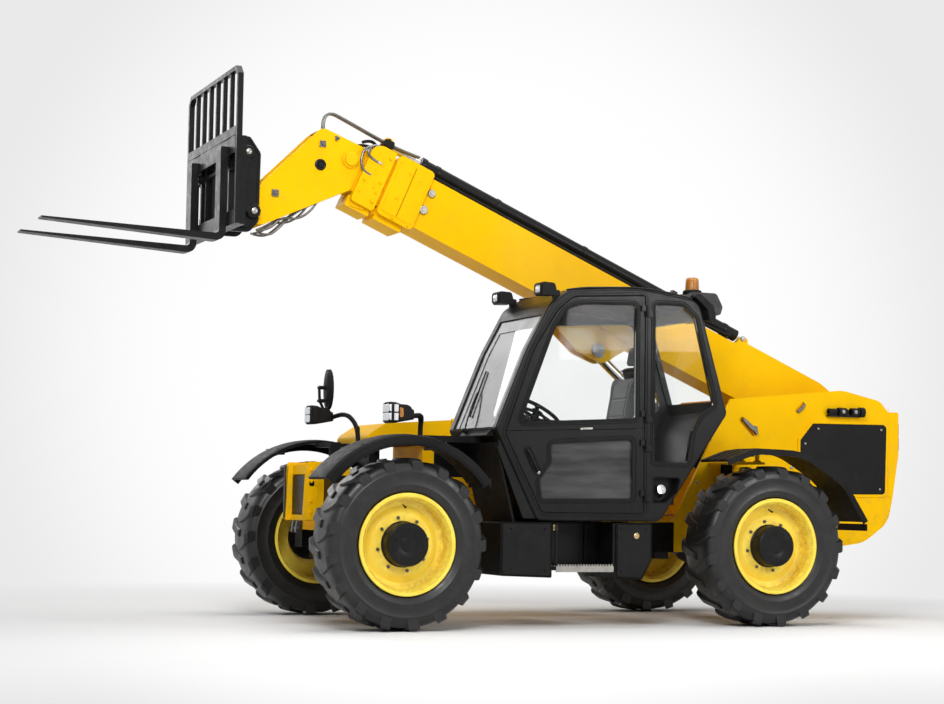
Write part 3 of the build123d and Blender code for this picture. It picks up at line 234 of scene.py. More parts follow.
def rim_paint(name):
    """Wheel yellow with painted shade in the dish near the hub and in a band further out, speckled like rust."""
    p = Paint(name)
    tone = p.mix(p.ramp(p.noise(6, 4), 0.35, 0.7), (1.0, 0.80, 0.105), (0.97, 0.70, 0.060))
    # painted shade: darker brown towards the hub and in a band 0.30 m out, broken up by speckle
    near = p.math("MINIMUM", p.reach_from(FRONT_AXLE), p.reach_from(REAR_AXLE))
    ring = p.math("MAXIMUM", p.ramp(near, 0.215, 0.150), p.band_at(near, 0.300, 0.030))
    speckle = p.ramp(p.noise(26, 7, 0.7), 0.40, 0.72)
    painted_dish_shade = p.math("MULTIPLY", p.math("ADD", p.math("MULTIPLY", ring, 0.75), 0.12), speckle)
    p.colour(p.mix(painted_dish_shade, tone, (0.55, 0.27, 0.050)))
    p.roughness(p.ramp(p.noise(18, 5), 0.3, 0.7, 0.30, 0.52))
    p.set(Coat_Weight=0.1, Coat_Roughness=0.15, Specular_IOR_Level=0.3)
    p.bump(p.noise(300, 2), 0.10, 0.0004)
    return p.material


def metal(name, tint, rough, scratch):
    p = Paint(name)
    p.colour(p.mix(p.ramp(p.noise(30, 5), 0.3, 0.75), tint, tuple(0.72 * c for c in tint)))
    p.roughness(p.ramp(p.noise(60, 4, stretch=(1, 1, 0.1)), 0.3, 0.7, *rough))
    p.set(Metallic=1.0)
    p.bump(p.noise(300, 3), scratch, 0.0003)
    return p.material


def glazing(name, tint, smear, ior=1.17):
    """Clear pane that lets lamps through, with faint smears in its gloss."""
    p = Paint(name)
    p.set(Transmission_Weight=1.0, IOR=ior)
    p.colour(p.mix(p.ramp(p.noise(3, 5, stretch=(1, 0.4, 0.4)), 0.4, 0.8), tint, tuple(0.93 * c for c in tint)))
    p.roughness(p.ramp(p.noise(7, 5), 0.35, 0.8, 0.0, smear))
    through = p.node("ShaderNodeBsdfTransparent")
    through.inputs["Color"].default_value = (*tint, 1.0)
    path = p.node("ShaderNodeLightPath")
    blend = p.node("ShaderNodeMixShader")
    p.link(path.outputs["Is Shadow Ray"], blend.inputs["Fac"])
    p.link(p.shader.outputs["BSDF"], blend.inputs[1])
    p.link(through.outputs["BSDF"], blend.inputs[2])
    p.link(blend.outputs["Shader"], p.output.inputs["Surface"])
    return p.material


def amber_lens(name, bright=(0.74, 0.30, 0.022), dim=(0.46, 0.17, 0.012)):
    p = Paint(name)
    p.colour(p.mix(p.ramp(p.noise(20, 3), 0.3, 0.7), bright, dim))
    p.roughness(p.ramp(p.noise(40, 3), 0.3, 0.7, 0.10, 0.22))
    p.set(Transmission_Weight=0.35, IOR=1.49)
    wave = p.node("ShaderNodeTexWave", wave_type="BANDS", bands_direction="Z")
    wave.inputs["Scale"].default_value = 90
    p.link(p.place, wave.inputs["Vector"])
    p.bump(wave.outputs["Fac"], 0.4, 0.001)
    return p.material


def lamp_lens(name):
    """Fluted clear lens over a silvered bowl, drawn opaque: its pale colour is a painted reflection of the bowl,
    striped with painted light and shade along the flutes.
    """
    p = Paint(name)
    flutes_and_painted_stripes = p.node("ShaderNodeTexWave", wave_type="BANDS", bands_direction="X")
    flutes_and_painted_stripes.inputs["Scale"].default_value = 34
    p.link(p.place, flutes_and_painted_stripes.inputs["Vector"])
    # painted light and shade: the colour is banded pale and grey along the flutes
    p.colour(p.mix(flutes_and_painted_stripes.outputs["Fac"], (0.86, 0.88, 0.90), (0.60, 0.62, 0.65)))
    p.roughness(p.ramp(p.noise(30, 4), 0.3, 0.7, 0.08, 0.20))
    p.set(Coat_Weight=1.0, Coat_Roughness=0.04)
    p.bump(flutes_and_painted_stripes.outputs["Fac"], 0.35, 0.0012)
    return p.material


def fabric(name):
    """Woven seat cloth: crossed threads with a slight fleck."""
    p = Paint(name)
    warp = p.node("ShaderNodeTexWave", wave_type="BANDS", bands_direction="X")
    weft = p.node("ShaderNodeTexWave", wave_type="BANDS", bands_direction="Y")
    for threads in (warp, weft):
        threads.inputs["Scale"].default_value = 230
        threads.inputs["Distortion"].default_value = 0.6
        p.link(p.place, threads.inputs["Vector"])
    weave = p.math("MULTIPLY", warp.outputs["Fac"], weft.outputs["Fac"])
    fleck = p.mix(p.ramp(p.noise(160, 4), 0.4, 0.7), (0.030, 0.031, 0.034), (0.075, 0.077, 0.083))
    p.colour(p.mix(weave, fleck, (0.016, 0.016, 0.018)))
    p.roughness(p.ramp(weave, 0, 1, 0.75, 0.95))
    p.set(Sheen_Weight=0.25, Sheen_Roughness=0.5)
    p.bump(weave, 0.5, 0.0008)
    p.bump(p.noise(12, 3), 0.2, 0.003)
    return p.material


YELLOW = coated("yellow_paint", (0.96, 0.545, 0.004), (0.90, 0.49, 0.003), (0.46, 0.28, 0.07))
RIM = rim_paint("wheel_yellow")
BLACK = black_paint("black_paint")
PLASTIC = black_plastic("black_plastic")
RUBBER = rubber("tyre_rubber")
CHROME = metal("chrome_rod", (0.83, 0.84, 0.86), (0.06, 0.16), 0.05)
STEEL = metal("zinc_steel", (0.40, 0.385, 0.35), (0.30, 0.48), 0.25)
CAST = coated("cast_engine", (0.085, 0.085, 0.088), (0.050, 0.050, 0.052), (0.10, 0.085, 0.065), (0.5, 0.7), 0.0)
GLASS = glazing("cab_glass", (0.955, 0.968, 0.962), 0.03)
AMBER = amber_lens("amber_lens")
CLOTH = fabric("seat_cloth")
HUB = black_paint("hub_black")
RUBBER_TRIM = black_plastic("rubber_trim")
HOSE_RUBBER = black_plastic("hose_rubber")
GLOSS = black_paint("gloss_black", gloss=0.5, coat=0.5)
FENDER = black_plastic("fender_plastic", gloss=0.05)
STEEL_DARK = metal("dark_steel", (0.16, 0.155, 0.15), (0.32, 0.5), 0.3)
PIPE = metal("line_steel", (0.20, 0.195, 0.185), (0.28, 0.42), 0.15)
BRASS = metal("passivated_steel", (0.66, 0.50, 0.26), (0.25, 0.4), 0.2)
MATT = black_paint("matt_black", gloss=0.05, coat=0.0)
WORN = metal("worn_edge", (0.10, 0.098, 0.095), (0.35, 0.55), 0.3)
LENS = lamp_lens("lamp_lens")
RED_LENS = amber_lens("red_lens", (0.55, 0.022, 0.015), (0.30, 0.012, 0.010))


def smoked_pane(name):
    """Smoked pane with long soft streaks of painted reflection in its colour, which lets little through."""
    p = Paint(name)
    painted_reflection_streak = p.ramp(p.noise(3.5, 4, stretch=(1, 0.45, 3.0)), 0.35, 0.72)
    # painted reflection: lighter and darker streaks in the pane's colour
    p.colour(p.mix(painted_reflection_streak, (0.030, 0.031, 0.031), (0.105, 0.106, 0.104)))
    p.roughness(p.ramp(p.noise(7, 5), 0.35, 0.8, 0.14, 0.30))
    p.set(Transmission_Weight=0.2, IOR=1.4)
    return p.material


DARK_GLASS = smoked_pane("dark_glass")
PRISM = metal("prism_reflector", (0.80, 0.81, 0.82), (0.24, 0.40), 0.10)


finish_of = {
    "body_yellow": YELLOW, "rim_yellow": RIM, "tyre": RUBBER, "black_paint": BLACK,
    "black_plastic": PLASTIC, "chrome_rod": CHROME, "clear_glass": GLASS, "amber": AMBER,
    "engine_block": CAST, "seat_fabric": CLOTH,
}


finish_of_node = {"door_lower_glass": DARK_GLASS, "side_boxes": MATT, "boom_pin": YELLOW}


def dress(obj, material):
    obj.data.materials.clear()
    obj.data.materials.append(material)


for part in frame["record"]["subparts"]:
    finish = finish_of_node.get(part["node"], finish_of[part["material_slot"]])
    dress(frame["nodes"][part["node"]], finish)


# ------------------------------------------------------------------ places
PIVOT = Vector(joints["boom_lift"]["pos_m"])
CARRIAGE_PIN = Vector(joints["carriage_tilt"]["pos_m"])
WHEEL_X = joints["front_left_roll"]["pos_m"][0]
LEFT, BACK, UP = Vector((1, 0, 0)), Vector((0, 1, 0)), Vector((0, 0, 1))
ALONG = Vector((0, -math.cos(BOOM_ANGLE), math.sin(BOOM_ANGLE)))
RISE = Vector((0, math.sin(BOOM_ANGLE), math.cos(BOOM_ANGLE)))


def at(x, y, z):
    """Place from millimetres: across, behind the front axle, above the ground."""
    return Vector((x * MM, FRONT_AXLE.y + y * MM, z * MM))


def on_boom(x, along, up):
    """Place from millimetres: across, forward along the boom from its pivot, square to it."""
    return Vector((x * MM, PIVOT.y, PIVOT.z)) + ALONG * along * MM + RISE * up * MM


# ------------------------------------------------------------------ shape making
def soft(corners, steps=6):
    """Flat outline of corners (a, b[, radius]) with the corners rounded."""
    points = []
    count = len(corners)
    for i, corner in enumerate(corners):
        here = Vector(corner[:2])
        radius = corner[2] if len(corner) > 2 else 0
        if not radius:
            points.append(here)
            continue
        back = (Vector(corners[i - 1][:2]) - here).normalized()
        ahead = (Vector(corners[(i + 1) % count][:2]) - here).normalized()
        half = back.angle(ahead) / 2
        trim = radius / math.tan(half)
        centre = here + (back + ahead).normalized() * radius / math.sin(half)
        start, end = here + back * trim - centre, here + ahead * trim - centre
        sweep = start.angle_signed(end)
        for k in range(steps + 1):
            points.append(centre + Matrix.Rotation(-sweep * k / steps, 2) @ start)
    return points


def grow(corners, amount):
    """Outline moved outward by an amount, with radii to suit."""
    points = [Vector(corner[:2]) for corner in corners]
    count = len(points)
    area = sum(points[i].x * points[(i + 1) % count].y - points[i].y * points[(i + 1) % count].x
               for i in range(count))
    hand = 1 if area > 0 else -1
    made = []
    for i, corner in enumerate(corners):
        back = (points[i] - points[i - 1]).normalized()
        ahead = (points[(i + 1) % count] - points[i]).normalized()
        one, two = Vector((back.y, -back.x)) * hand, Vector((ahead.y, -ahead.x)) * hand
        shift = (one + two) / (1 + one.dot(two)) * amount
        outer = (back.x * ahead.y - back.y * ahead.x) * hand > 0
        radius = corner[2] if len(corner) > 2 else 0
        made.append((*(points[i] + shift), max(radius + (amount if outer else -amount), 2)))
    return made


class Form:
    """A mesh in the making."""

    def __init__(self):
        self.bm = bmesh.new()

    def skin(self, rings):
        """Faces between closed rings of equal length; a ring of one point is a tip."""
        made = [[self.bm.verts.new(point) for point in ring] for ring in rings]
        for first, second in zip(made, made[1:]):
            count = max(len(first), len(second))
            if count == 1:
                continue
            for i in range(count):
                j = (i + 1) % count
                if len(first) == 1:
                    self.bm.faces.new((first[0], second[i], second[j]))
                elif len(second) == 1:
                    self.bm.faces.new((first[i], second[0], first[j]))
                else:
                    self.bm.faces.new((first[i], second[i], second[j], first[j]))
        return made

    def lathe(self, centre, axis, profile, steps=48, flat=1.0):
        """Turned form from (radius, reach along the axis) in millimetres; flat squeezes it across."""
        axis = Vector(axis).normalized()
        one = UP if abs(axis.z) < 0.9 else LEFT
        one = (one - axis * one.dot(axis)).normalized()
        two = axis.cross(one)
        turns = [math.tau * i / steps for i in range(steps)]
        rings = []
        for radius, reach in profile:
            middle = centre + axis * reach * MM
            if radius < 0.01:
                rings.append([middle])
            else:
                rings.append([middle + (one * math.cos(a) + two * math.sin(a) * flat) * radius * MM
                              for a in turns])
        self.skin(rings)

    def prism(self, loop, offset):
        """Closed outline of places, drawn out by an offset."""
        low = [self.bm.verts.new(point) for point in loop]
        high = [self.bm.verts.new(point + offset) for point in loop]
        self.bm.faces.new(low)
        self.bm.faces.new(high)
        for i in range(len(loop)):
            j = (i + 1) % len(loop)
            self.bm.faces.new((low[i], low[j], high[j], high[i]))

    def plate(self, corners, x0, x1, to=at, steps=6):
        """Plate with a side outline (behind the front axle and height, or along and up)."""
        self.prism([to(x0, a, b) for a, b in soft(corners, steps)], LEFT * (x1 - x0) * MM)

    def facing(self, corners, y0, y1, steps=6):
        """Plate with an outline seen from the front (across, height)."""
        self.prism([at(a, y0, b) for a, b in soft(corners, steps)], BACK * (y1 - y0) * MM)

    def box(self, x0, x1, a0, a1, b0, b1, to=at):
        self.plate([(a0, b0), (a1, b0), (a1, b1), (a0, b1)], x0, x1, to)

    def gasket(self, corners, outer, inner, x0, x1, to=at, steps=8):
        """Band that follows an outline, between two offsets from it."""
        rings = []
        for offset, x in ((outer, x0), (outer, x1), (inner, x1), (inner, x0), (outer, x0)):
            rings.append([to(x, a, b) for a, b in soft(grow(corners, offset), steps)])
        self.skin(rings)
        bmesh.ops.remove_doubles(self.bm, verts=self.bm.verts, dist=1e-6)

    def bar(self, start, end, radius, steps=16):
        axis = end - start
        length = axis.length / MM
        edge = min(1.5, radius * 0.3)
        self.lathe(start, axis, [(0, 0), (radius - edge, 0), (radius, edge), (radius, length - edge),
                                 (radius - edge, length), (0, length)], steps)

    def nut(self, place, axis, across, tall, washer=True):
        """Hexagon head with a domed end, on a washer."""
        if washer:
            self.lathe(place, axis, [(0, -1), (across * 0.64, -1), (across * 0.64, 2), (0, 2)], 20)
        corner = across / math.sqrt(3)
        self.lathe(place, axis, [(corner, 0), (corner, tall - 1.5), (corner * 0.86, tall), (0, tall)], 6)
        self.lathe(place, axis, [(across * 0.26, tall - 1), (across * 0.24, tall + 3), (0, tall + 4)], 12)


def piece(form, name, body, material, bevel=0.0, smooth=35):
    """Turns a form into an object that rides on a body."""
    bmesh.ops.recalc_face_normals(form.bm, faces=form.bm.faces)
    mesh = bpy.data.meshes.new(name)
    form.bm.to_mesh(mesh)
    form.bm.free()
    for polygon in mesh.polygons:
        polygon.use_smooth = True
    mesh.set_sharp_from_angle(angle=math.radians(smooth))
    obj = bpy.data.objects.new(name, mesh)
    bpy.context.scene.collection.objects.link(obj)
    mesh.materials.append(material)
    if bevel:
        edge = obj.modifiers.new("edge", "BEVEL")
        edge.width = bevel * MM
        edge.segments = 2
        edge.limit_method = "ANGLE"
        edge.angle_limit = math.radians(40)
        edge.harden_normals = True
    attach(obj, body)
    return obj


def run(name, body, points, radius, material, closed=False):
    """Formed pipe, clamped hose or bead: a smooth line through control places, or a closed loop."""
    data = bpy.data.curves.new(name, "CURVE")
    data.dimensions = "3D"
    data.bevel_depth = radius * MM
    data.bevel_resolution = 4 if radius > 5 else 2
    data.resolution_u = 10
    data.use_fill_caps = not closed
    spline = data.splines.new("POLY" if closed else "NURBS")
    spline.points.add(len(points) - 1)
    for control, point in zip(spline.points, points):
        control.co = (*point, 1.0)
    if closed:
        spline.use_cyclic_u = True
    else:
        spline.order_u = 3
        spline.use_endpoint_u = True
    obj = bpy.data.objects.new(name, data)
    bpy.context.scene.collection.objects.link(obj)
    data.materials.append(material)
    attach(obj, body)
    return obj


def bead(name, body, corners, x, radius, material=None, to=at):
    """Rubber bead along a side outline."""
    loop = [to(x, a, b) for a, b in soft(corners, 8)]
    return run(name, body, loop, radius, material or RUBBER_TRIM, closed=True)


# ------------------------------------------------------------------ wheels
LUG_PAIRS = 17
LUG_ROWS = 12
TYRE_HALF = 201


def lug_ring(middle, sign, across, turn, section):
    """Cross-section of a lug at a distance from the tyre's middle: pairs (reach round, radius)."""
    ring = []
    for reach, radius in section:
        angle = turn + reach / 575
        ring.append(middle + Vector((sign * across, math.sin(angle) * radius, math.cos(angle) * radius)) * MM)
    return ring


def tyre_form(middle, sign):
    """Rounded carcass with ribbed walls and curved, tapering lugs."""
    form = Form()
    wall = [(336, 150), (352, 172), (362, 180), (378, 190), (398, 197), (402, 199.5), (410, 199.5),
            (414, 198), (452, 199.5), (484, 199), (487, 200.5), (494, 200.5), (497, 198.5), (515, 196),
            (535, 190), (552, 176), (564, 150), (570, 100), (573, 0)]
    form.lathe(middle, LEFT, [(r, -h) for r, h in wall] + [(r, h) for r, h in wall[-2::-1]], 120)
    for row, offset in ((1, 0.0), (-1, 0.5)):
        for i in range(LUG_PAIRS):
            start = (i + offset) * math.tau / LUG_PAIRS
            sections = []
            for k in range(LUG_ROWS + 1):
                share = k / LUG_ROWS
                across = -14 + share * (TYRE_HALF + 12)
                lead = 84 * (0.35 * share + 0.65 * share ** 1.8) - 25
                top = 587.2 - 1.2 * share - (4 if k == 0 else 0) - max(across - 166, 0) ** 2 / 60
                half = 25 + 11 * share
                root = 564 if across < 150 else 546
                sections.append(lug_ring(middle, sign, row * across, start, [
                    (lead - half - 7, root), (lead - half, top - 2.5), (lead - half + 2.5, top),
                    (lead + half - 2.5, top), (lead + half, top - 2.5), (lead + half + 9, root)]))
            # the outer end runs down the side wall
            sections.append(lug_ring(middle, sign, row * (TYRE_HALF - 3.5), start, [
                (26, 496), (30, 520), (33, 526), (96, 526), (99, 520), (103, 496)]))
            made = form.skin(sections)
            form.bm.faces.new(made[0])
            form.bm.faces.new(made[-1])
    return form


def wheel(end, hand, sign):
    body = f"{end}_{hand}_wheel"
    axle = FRONT_AXLE if end == "front" else REAR_AXLE
    middle = Vector((sign * WHEEL_X, axle.y, axle.z))
    out = LEFT * sign
    tyre = piece(tyre_form(middle, sign), f"{body}_tyre", body, RUBBER, bevel=2, smooth=30)
    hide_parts(f"{end}_{hand}_tyre")

    hub = Form()
    hub.lathe(middle, out, [(0, 70), (158, 82), (158, 90), (154, 95), (150, 97), (149, 188), (146, 196),
                            (141, 199.5), (120, 200), (119, 201), (64, 201.5), (60, 199.5), (50, 199.5),
                            (47, 201.5), (0, 202)], 64)
    for i in range(10):
        turn = math.tau * (i + 0.5) / 10
        spot = middle + out * 0.1995 + Vector((0, math.cos(turn), math.sin(turn))) * 0.092
        hub.lathe(spot, out, [(9.2, 0), (9.2, 3), (7.8, 4.2), (0, 4.2)], 6)
    piece(hub, f"{body}_hub", body, HUB, smooth=30)

    studs = Form()
    for i in range(8):
        turn = math.tau * (i + 0.25) / 8
        spot = middle + out * 0.0855 + Vector((0, math.cos(turn), math.sin(turn))) * 0.183
        studs.nut(spot, out, 19, 12)
    piece(studs, f"{body}_nuts", body, STEEL_DARK, smooth=25)

    lip = Form()
    lip.lathe(middle, out, [(326, 180), (332, 187), (343, 190), (349, 187), (350, 180)], 96)
    piece(lip, f"{body}_lip", body, RIM, smooth=60)

    valve = Form()
    valve.bar(middle + out * 0.080 + UP * 0.268, middle + out * 0.115 + UP * 0.255, 5, 12)
    valve.bar(middle + out * 0.113 + UP * 0.256, middle + out * 0.135 + UP * 0.249, 6.5, 12)
    piece(valve, f"{body}_valve", body, RUBBER_TRIM, smooth=40)


for end in ("front", "rear"):
    for hand, sign in (("left", 1), ("right", -1)):
        wheel(end, hand, sign)


# ------------------------------------------------------------------ axles
def running_gear(end):
    """Steering rams, tie rods and the rims of the axle's case."""
    axle = FRONT_AXLE if end == "front" else REAR_AXLE
    back = 0.205
    lift = 0.02
    form = Form()
    form.bar(axle + Vector((-0.22, back, lift)), axle + Vector((0.22, back, lift)), 34, 24)
    for s in (-1, 1):
        form.lathe(axle + Vector((s * 0.215, back, lift)), LEFT * s,
                   [(0, 0), (40, 0), (40, 24), (28, 28), (0, 28)], 24)
        form.box(s * 60, s * 90, 120 + (axle.y - FRONT_AXLE.y) / MM, 200 + (axle.y - FRONT_AXLE.y) / MM, 575, 640)
    piece(form, f"{end}_steer_ram", "root", BLACK, bevel=1)
    rods = Form()
    for s in (-1, 1):
        rods.bar(axle + Vector((s * 0.24, back, lift)), axle + Vector((s * 0.46, back, lift)), 15, 20)
    piece(rods, f"{end}_steer_rods", "root", CHROME)


running_gear("front")
running_gear("rear")

shaft = Form()
shaft.bar(at(0, 175, 560), at(0, 2700, 560), 32, 24)
for y in (190, 1380, 1470, 2660):
    shaft.lathe(at(0, y, 560), BACK, [(0, 0), (60, 0), (64, 4), (64, 22), (60, 26), (0, 26)], 24)
piece(shaft, "drive_shaft", "root", STEEL_DARK, smooth=35)


# ------------------------------------------------------------------ cab
SIDE = 1050                    # cab's left skin
# side outlines: behind the front axle, height, radius
door_outline = [(1035, 812, 50), (745, 1365, 40), (955, 1955, 700), (1140, 2245, 140), (1265, 2350, 110),
                (1840, 2385, 20), (1840, 812, 20)]
upper_window = [(858, 1440, 30), (1105, 2090, 500), (1205, 2255, 110), (1330, 2300, 60),
                (1770, 2315, 30), (1770, 1490, 30)]
lower_window = [(1092, 1302, 35), (1748, 1345, 35), (1748, 915, 25), (1030, 905, 25), (1008, 1040, 50),
                (1100, 1165, 60)]
quarter_window = [(1918, 1180, 15), (1918, 2328, 30), (2153, 2330, 60), (2256, 2240, 40),
                  (2416, 1605, 40), (2303, 1535, 40), (2235, 1420, 50), (2195, 1180, 25)]
filler_recess = [(1918, 895, 12), (1918, 1073, 12), (2133, 1073, 20), (2103, 965, 30), (2013, 895, 20)]

for name, body, window in (("door_upper", "door_upper_body", upper_window),
                           ("door_lower", "door_lower_body", lower_window),
                           ("quarter", "root", quarter_window)):
    gasket = Form()
    gasket.gasket(window, 16, -6, SIDE - 8, SIDE + 4)
    piece(gasket, f"{name}_gasket", body, RUBBER_TRIM, bevel=3)
    bead(f"{name}_bead", body, grow(window, 26), SIDE + 1, 3.2)
bead("door_seal", "root", grow(door_outline, 3), SIDE - 1, 4.5)
bead("filler_bead", "root", grow(filler_recess, 6), SIDE + 1, 4)
bead("cab_edge_bead", "root", grow(door_outline, 20), SIDE + 1, 2.6)

# door handle: a paddle in a dished frame, with its lock
handle = Form()
handle_frame = [(889, 1262, 22), (936, 1276, 22), (1028, 1092, 22), (985, 1072, 22)]
handle.gasket(handle_frame, 6, -7, SIDE - 2, SIDE + 7)
handle.plate(grow(handle_frame, -6), SIDE - 1, SIDE + 1.5)
piece(handle, "door_handle_frame", "door_lower_body", PLASTIC, bevel=2)
run("door_handle", "door_lower_body", [at(SIDE + 2, 915, 1250), at(SIDE + 24, 918, 1246),
                                       at(SIDE + 26, 955, 1172), at(SIDE + 24, 990, 1108),
                                       at(SIDE + 2, 995, 1104)], 10, HUB)
lock = Form()
lock.lathe(at(SIDE + 1, 1004, 1092), LEFT, [(12, 0), (12, 6), (9, 8), (0, 8)], 24)
lock.box(SIDE + 8, SIDE + 10, 1002, 1006, 1086, 1098)
piece(lock, "door_lock", "door_lower_body", STEEL, bevel=0.5)

latch = Form()
latch.plate([(1325, 1400, 6), (1424, 1406, 6), (1424, 1421, 6), (1325, 1415, 6)], SIDE, SIDE + 5)
latch.plate([(1350, 1404, 3), (1402, 1407, 3), (1402, 1417, 3), (1350, 1414, 3)], SIDE + 5, SIDE + 12)
piece(latch, "door_latch", "door_upper_body", STEEL, bevel=1)

# leaves and bolts of the hinges
for low, body in ((900, "door_lower_body"), (1260, "door_lower_body"),
                  (1470, "door_upper_body"), (2230, "door_upper_body")):
    base = low + 40
    leaf = Form()
    leaf.plate([(1800, base - 2, 4), (1832, base - 2, 4), (1832, base + 42, 4), (1800, base + 42, 4)],
               SIDE, SIDE + 4)
    for z in (base + 8, base + 32):
        leaf.nut(at(SIDE + 4, 1812, z), LEFT, 9, 5)
    piece(leaf, f"hinge_leaf_{low}", body, BLACK, bevel=1)
    post = Form()
    post.plate([(1868, low - 2, 4), (1900, low - 2, 4), (1900, low + 42, 4), (1868, low + 42, 4)],
               SIDE, SIDE + 4)
    for z in (low + 8, low + 32):
        post.nut(at(SIDE + 4, 1889, z), LEFT, 9, 5)
    piece(post, f"hinge_post_{low}", "root", BLACK, bevel=1)


def screen_place(x, z, proud):
    """Place in front of the windscreen."""
    if z < 1960:
        y = 672 + (z - 1395) * 233 / 565
    else:
        y = 905 + (z - 1960) * 185 / 340
    return at(x, y + 14 - proud, z)


# windscreen: rubber round it, wiper, and the cowl below
seal_x0, seal_x1 = 262, 988
run("screen_seal", "root",
    [screen_place(seal_x0, z, 4) for z in (1402, 1500, 1600, 1700, 1800, 1900, 1960, 2050, 2130, 2213)]
    + [screen_place(seal_x1, z, 4) for z in (2213, 2130, 2050, 1960, 1900, 1800, 1700, 1600, 1500, 1402)],
    7, RUBBER_TRIM, closed=True)
run("wiper_arm", "root", [screen_place(545, 1388, 34), screen_place(540, 1440, 42),
                          screen_place(500, 1560, 36), screen_place(462, 1670, 20)],
    5.5, PLASTIC)
run("wiper_blade", "root", [screen_place(478, 1490, 8), screen_place(458, 1660, 10),
                            screen_place(440, 1830, 8)], 6, RUBBER_TRIM)
wiper = Form()
wiper.bar(screen_place(545, 1378, -20), screen_place(545, 1390, 46), 17, 20)
wiper.lathe(screen_place(545, 1390, 44), Vector((0, -0.9, 0.35)), [(13, 0), (13, 8), (8, 14), (0, 14)], 20)
piece(wiper, "wiper_hub", "root", PLASTIC)
# dark printed band round the edge of the windscreen
band = Form()
for x0, x1 in ((268, 345), (930, 984)):
    rings = [[screen_place(x, z, proud) for x, proud in ((x0, 1), (x1, 1), (x1, 2.5), (x0, 2.5))]
             for z in (1410, 1600, 1800, 1960, 2080, 2207)]
    made = band.skin(rings)
    band.bm.faces.new(made[0])
    band.bm.faces.new(made[-1])
rings = [[screen_place(x, z, proud) for z, proud in ((2120, 1), (2207, 1), (2207, 2.5), (2120, 2.5))]
         for x in (345, 640, 930)]
made = band.skin(rings)
band.bm.faces.new(made[0])
band.bm.faces.new(made[-1])
piece(band, "screen_band", "root", DARK_GLASS)
cowl = Form()
cowl.plate([(640, 1343.5), (700, 1343.5), (700, 1392, 8), (672, 1386, 8), (640, 1352, 6)], 470, 960)
for x in range(500, 940, 40):
    cowl.box(x, x + 20, 646, 690, 1386, 1391)
piece(cowl, "screen_cowl", "root", PLASTIC, bevel=2)

# fender side plate between the front wheel and the cab's foot
skirt = Form()
skirt.plate([(716, 1338, 20), (738, 1338, 10), (1020, 812, 30), (1010, 772, 20), (898, 772, 20),
             (700, 1250, 60)], 1000, 1032)
piece(skirt, "cab_skirt", "root", BLACK, bevel=6)

# filler: chrome cap on its neck, with a hose beside it
filler = Form()
filler.lathe(at(985, 2004, 985), Vector((1, 0.1, 0.25)), [(0, -60), (30, -60), (30, 0), (36, 2), (39, 6),
             (39, 18), (34, 24), (12, 26), (10, 30), (0, 30)], 36)
for turn in (0.4, 2.5, 4.6):
    reach = Vector((0, math.cos(turn), math.sin(turn))) * 0.039
    filler.bar(at(1000, 2004, 989), at(1000, 2004, 989) + reach, 4, 10)
piece(filler, "filler_cap", "root", CHROME)
run("filler_hose", "root", [at(960, 1935, 905), at(990, 1945, 912), at(1004, 1985, 908), at(995, 2035, 940),
                            at(960, 2060, 990)], 13, RUBBER_TRIM)
pocket = Form()
pocket.box(930, 936, 1905, 2145, 880, 1085)
piece(pocket, "filler_pocket", "root", PLASTIC, bevel=2)

# roof: ribs, drip rails and the dark rear cap behind the beacon
cap = Form()
cap.plate([(2188, 2428, 20), (2300, 2418, 30), (2408, 2340, 40), (2428, 2238, 20), (2372, 2228, 10),
           (2352, 2310, 30), (2270, 2380, 40)], 700, 1052)
piece(cap, "roof_cap", "root", PLASTIC, bevel=5)
for name, x in (("left", 1032), ("right", 218)):
    run(f"drip_rail_{name}", "root", [at(x, 1215, 2393), at(x, 1300, 2412), at(x, 1500, 2426),
                                     at(x, 1800, 2442), at(x, 2000, 2425), at(x, 2230, 2386)],
        7, BLACK)
rib = Form()
for x in (360, 470, 580, 690, 800, 910):
    rib.plate([(1330, 2408, 10), (1800, 2434, 300), (2150, 2392, 10), (2150, 2404, 10), (1800, 2447, 300),
               (1330, 2419, 10)], x, x + 46)
piece(rib, "roof_ribs", "root", BLACK, bevel=4)

# inside: cluster, levers, console and arm rests
dash = Form()
dash.plate([(905, 1350, 20), (880, 1455, 60), (960, 1520, 60), (1075, 1490, 40), (1090, 1400, 20)], 470, 770)
piece(dash, "dash_hump", "root", PLASTIC, bevel=8)
dial = Form()
slope = Vector((0, 0.45, 0.9)).normalized()
for x, z_off in ((540, 0), (620, 6), (700, 0)):
    dial.lathe(at(x, 1052, 1488 + z_off), slope, [(34, 4), (34, 16), (30, 18), (28, 14), (0, 14)], 32)
piece(dial, "dials", "root", GLOSS)
for name, foot, top in (("left", (742, 1120, 1500), (842, 1090, 1560)),
                        ("right", (500, 1120, 1500), (402, 1090, 1552))):
    run(f"stalk_{name}", "root", [at(620 + (foot[0] - 620) * 0.3, 1170, 1520), at(*foot), at(*top)],
        7, PLASTIC)
    knob = Form()
    knob.lathe(at(*top), at(*top) - at(*foot), [(0, -16), (10, -14), (13, -4), (13, 8), (9, 15), (0, 17)], 20)
    piece(knob, f"stalk_knob_{name}", "root", PLASTIC)
console = Form()
console.plate([(1330, 802, 20), (1310, 1180, 50), (1390, 1262, 60), (1860, 1300, 60), (1900, 802, 20)],
              252, 372)
piece(console, "console", "root", PLASTIC, bevel=12)
run("joystick", "root", [at(310, 1440, 1262), at(310, 1432, 1340), at(322, 1400, 1400)], 9, PLASTIC)
grip = Form()
grip.lathe(at(322, 1402, 1392), Vector((0.05, -0.25, 1)), [(0, 0), (17, 4), (20, 24), (17, 52), (21, 78),
           (24, 96), (20, 112), (0, 120)], 24, flat=1.25)
piece(grip, "joystick_grip", "root", PLASTIC)
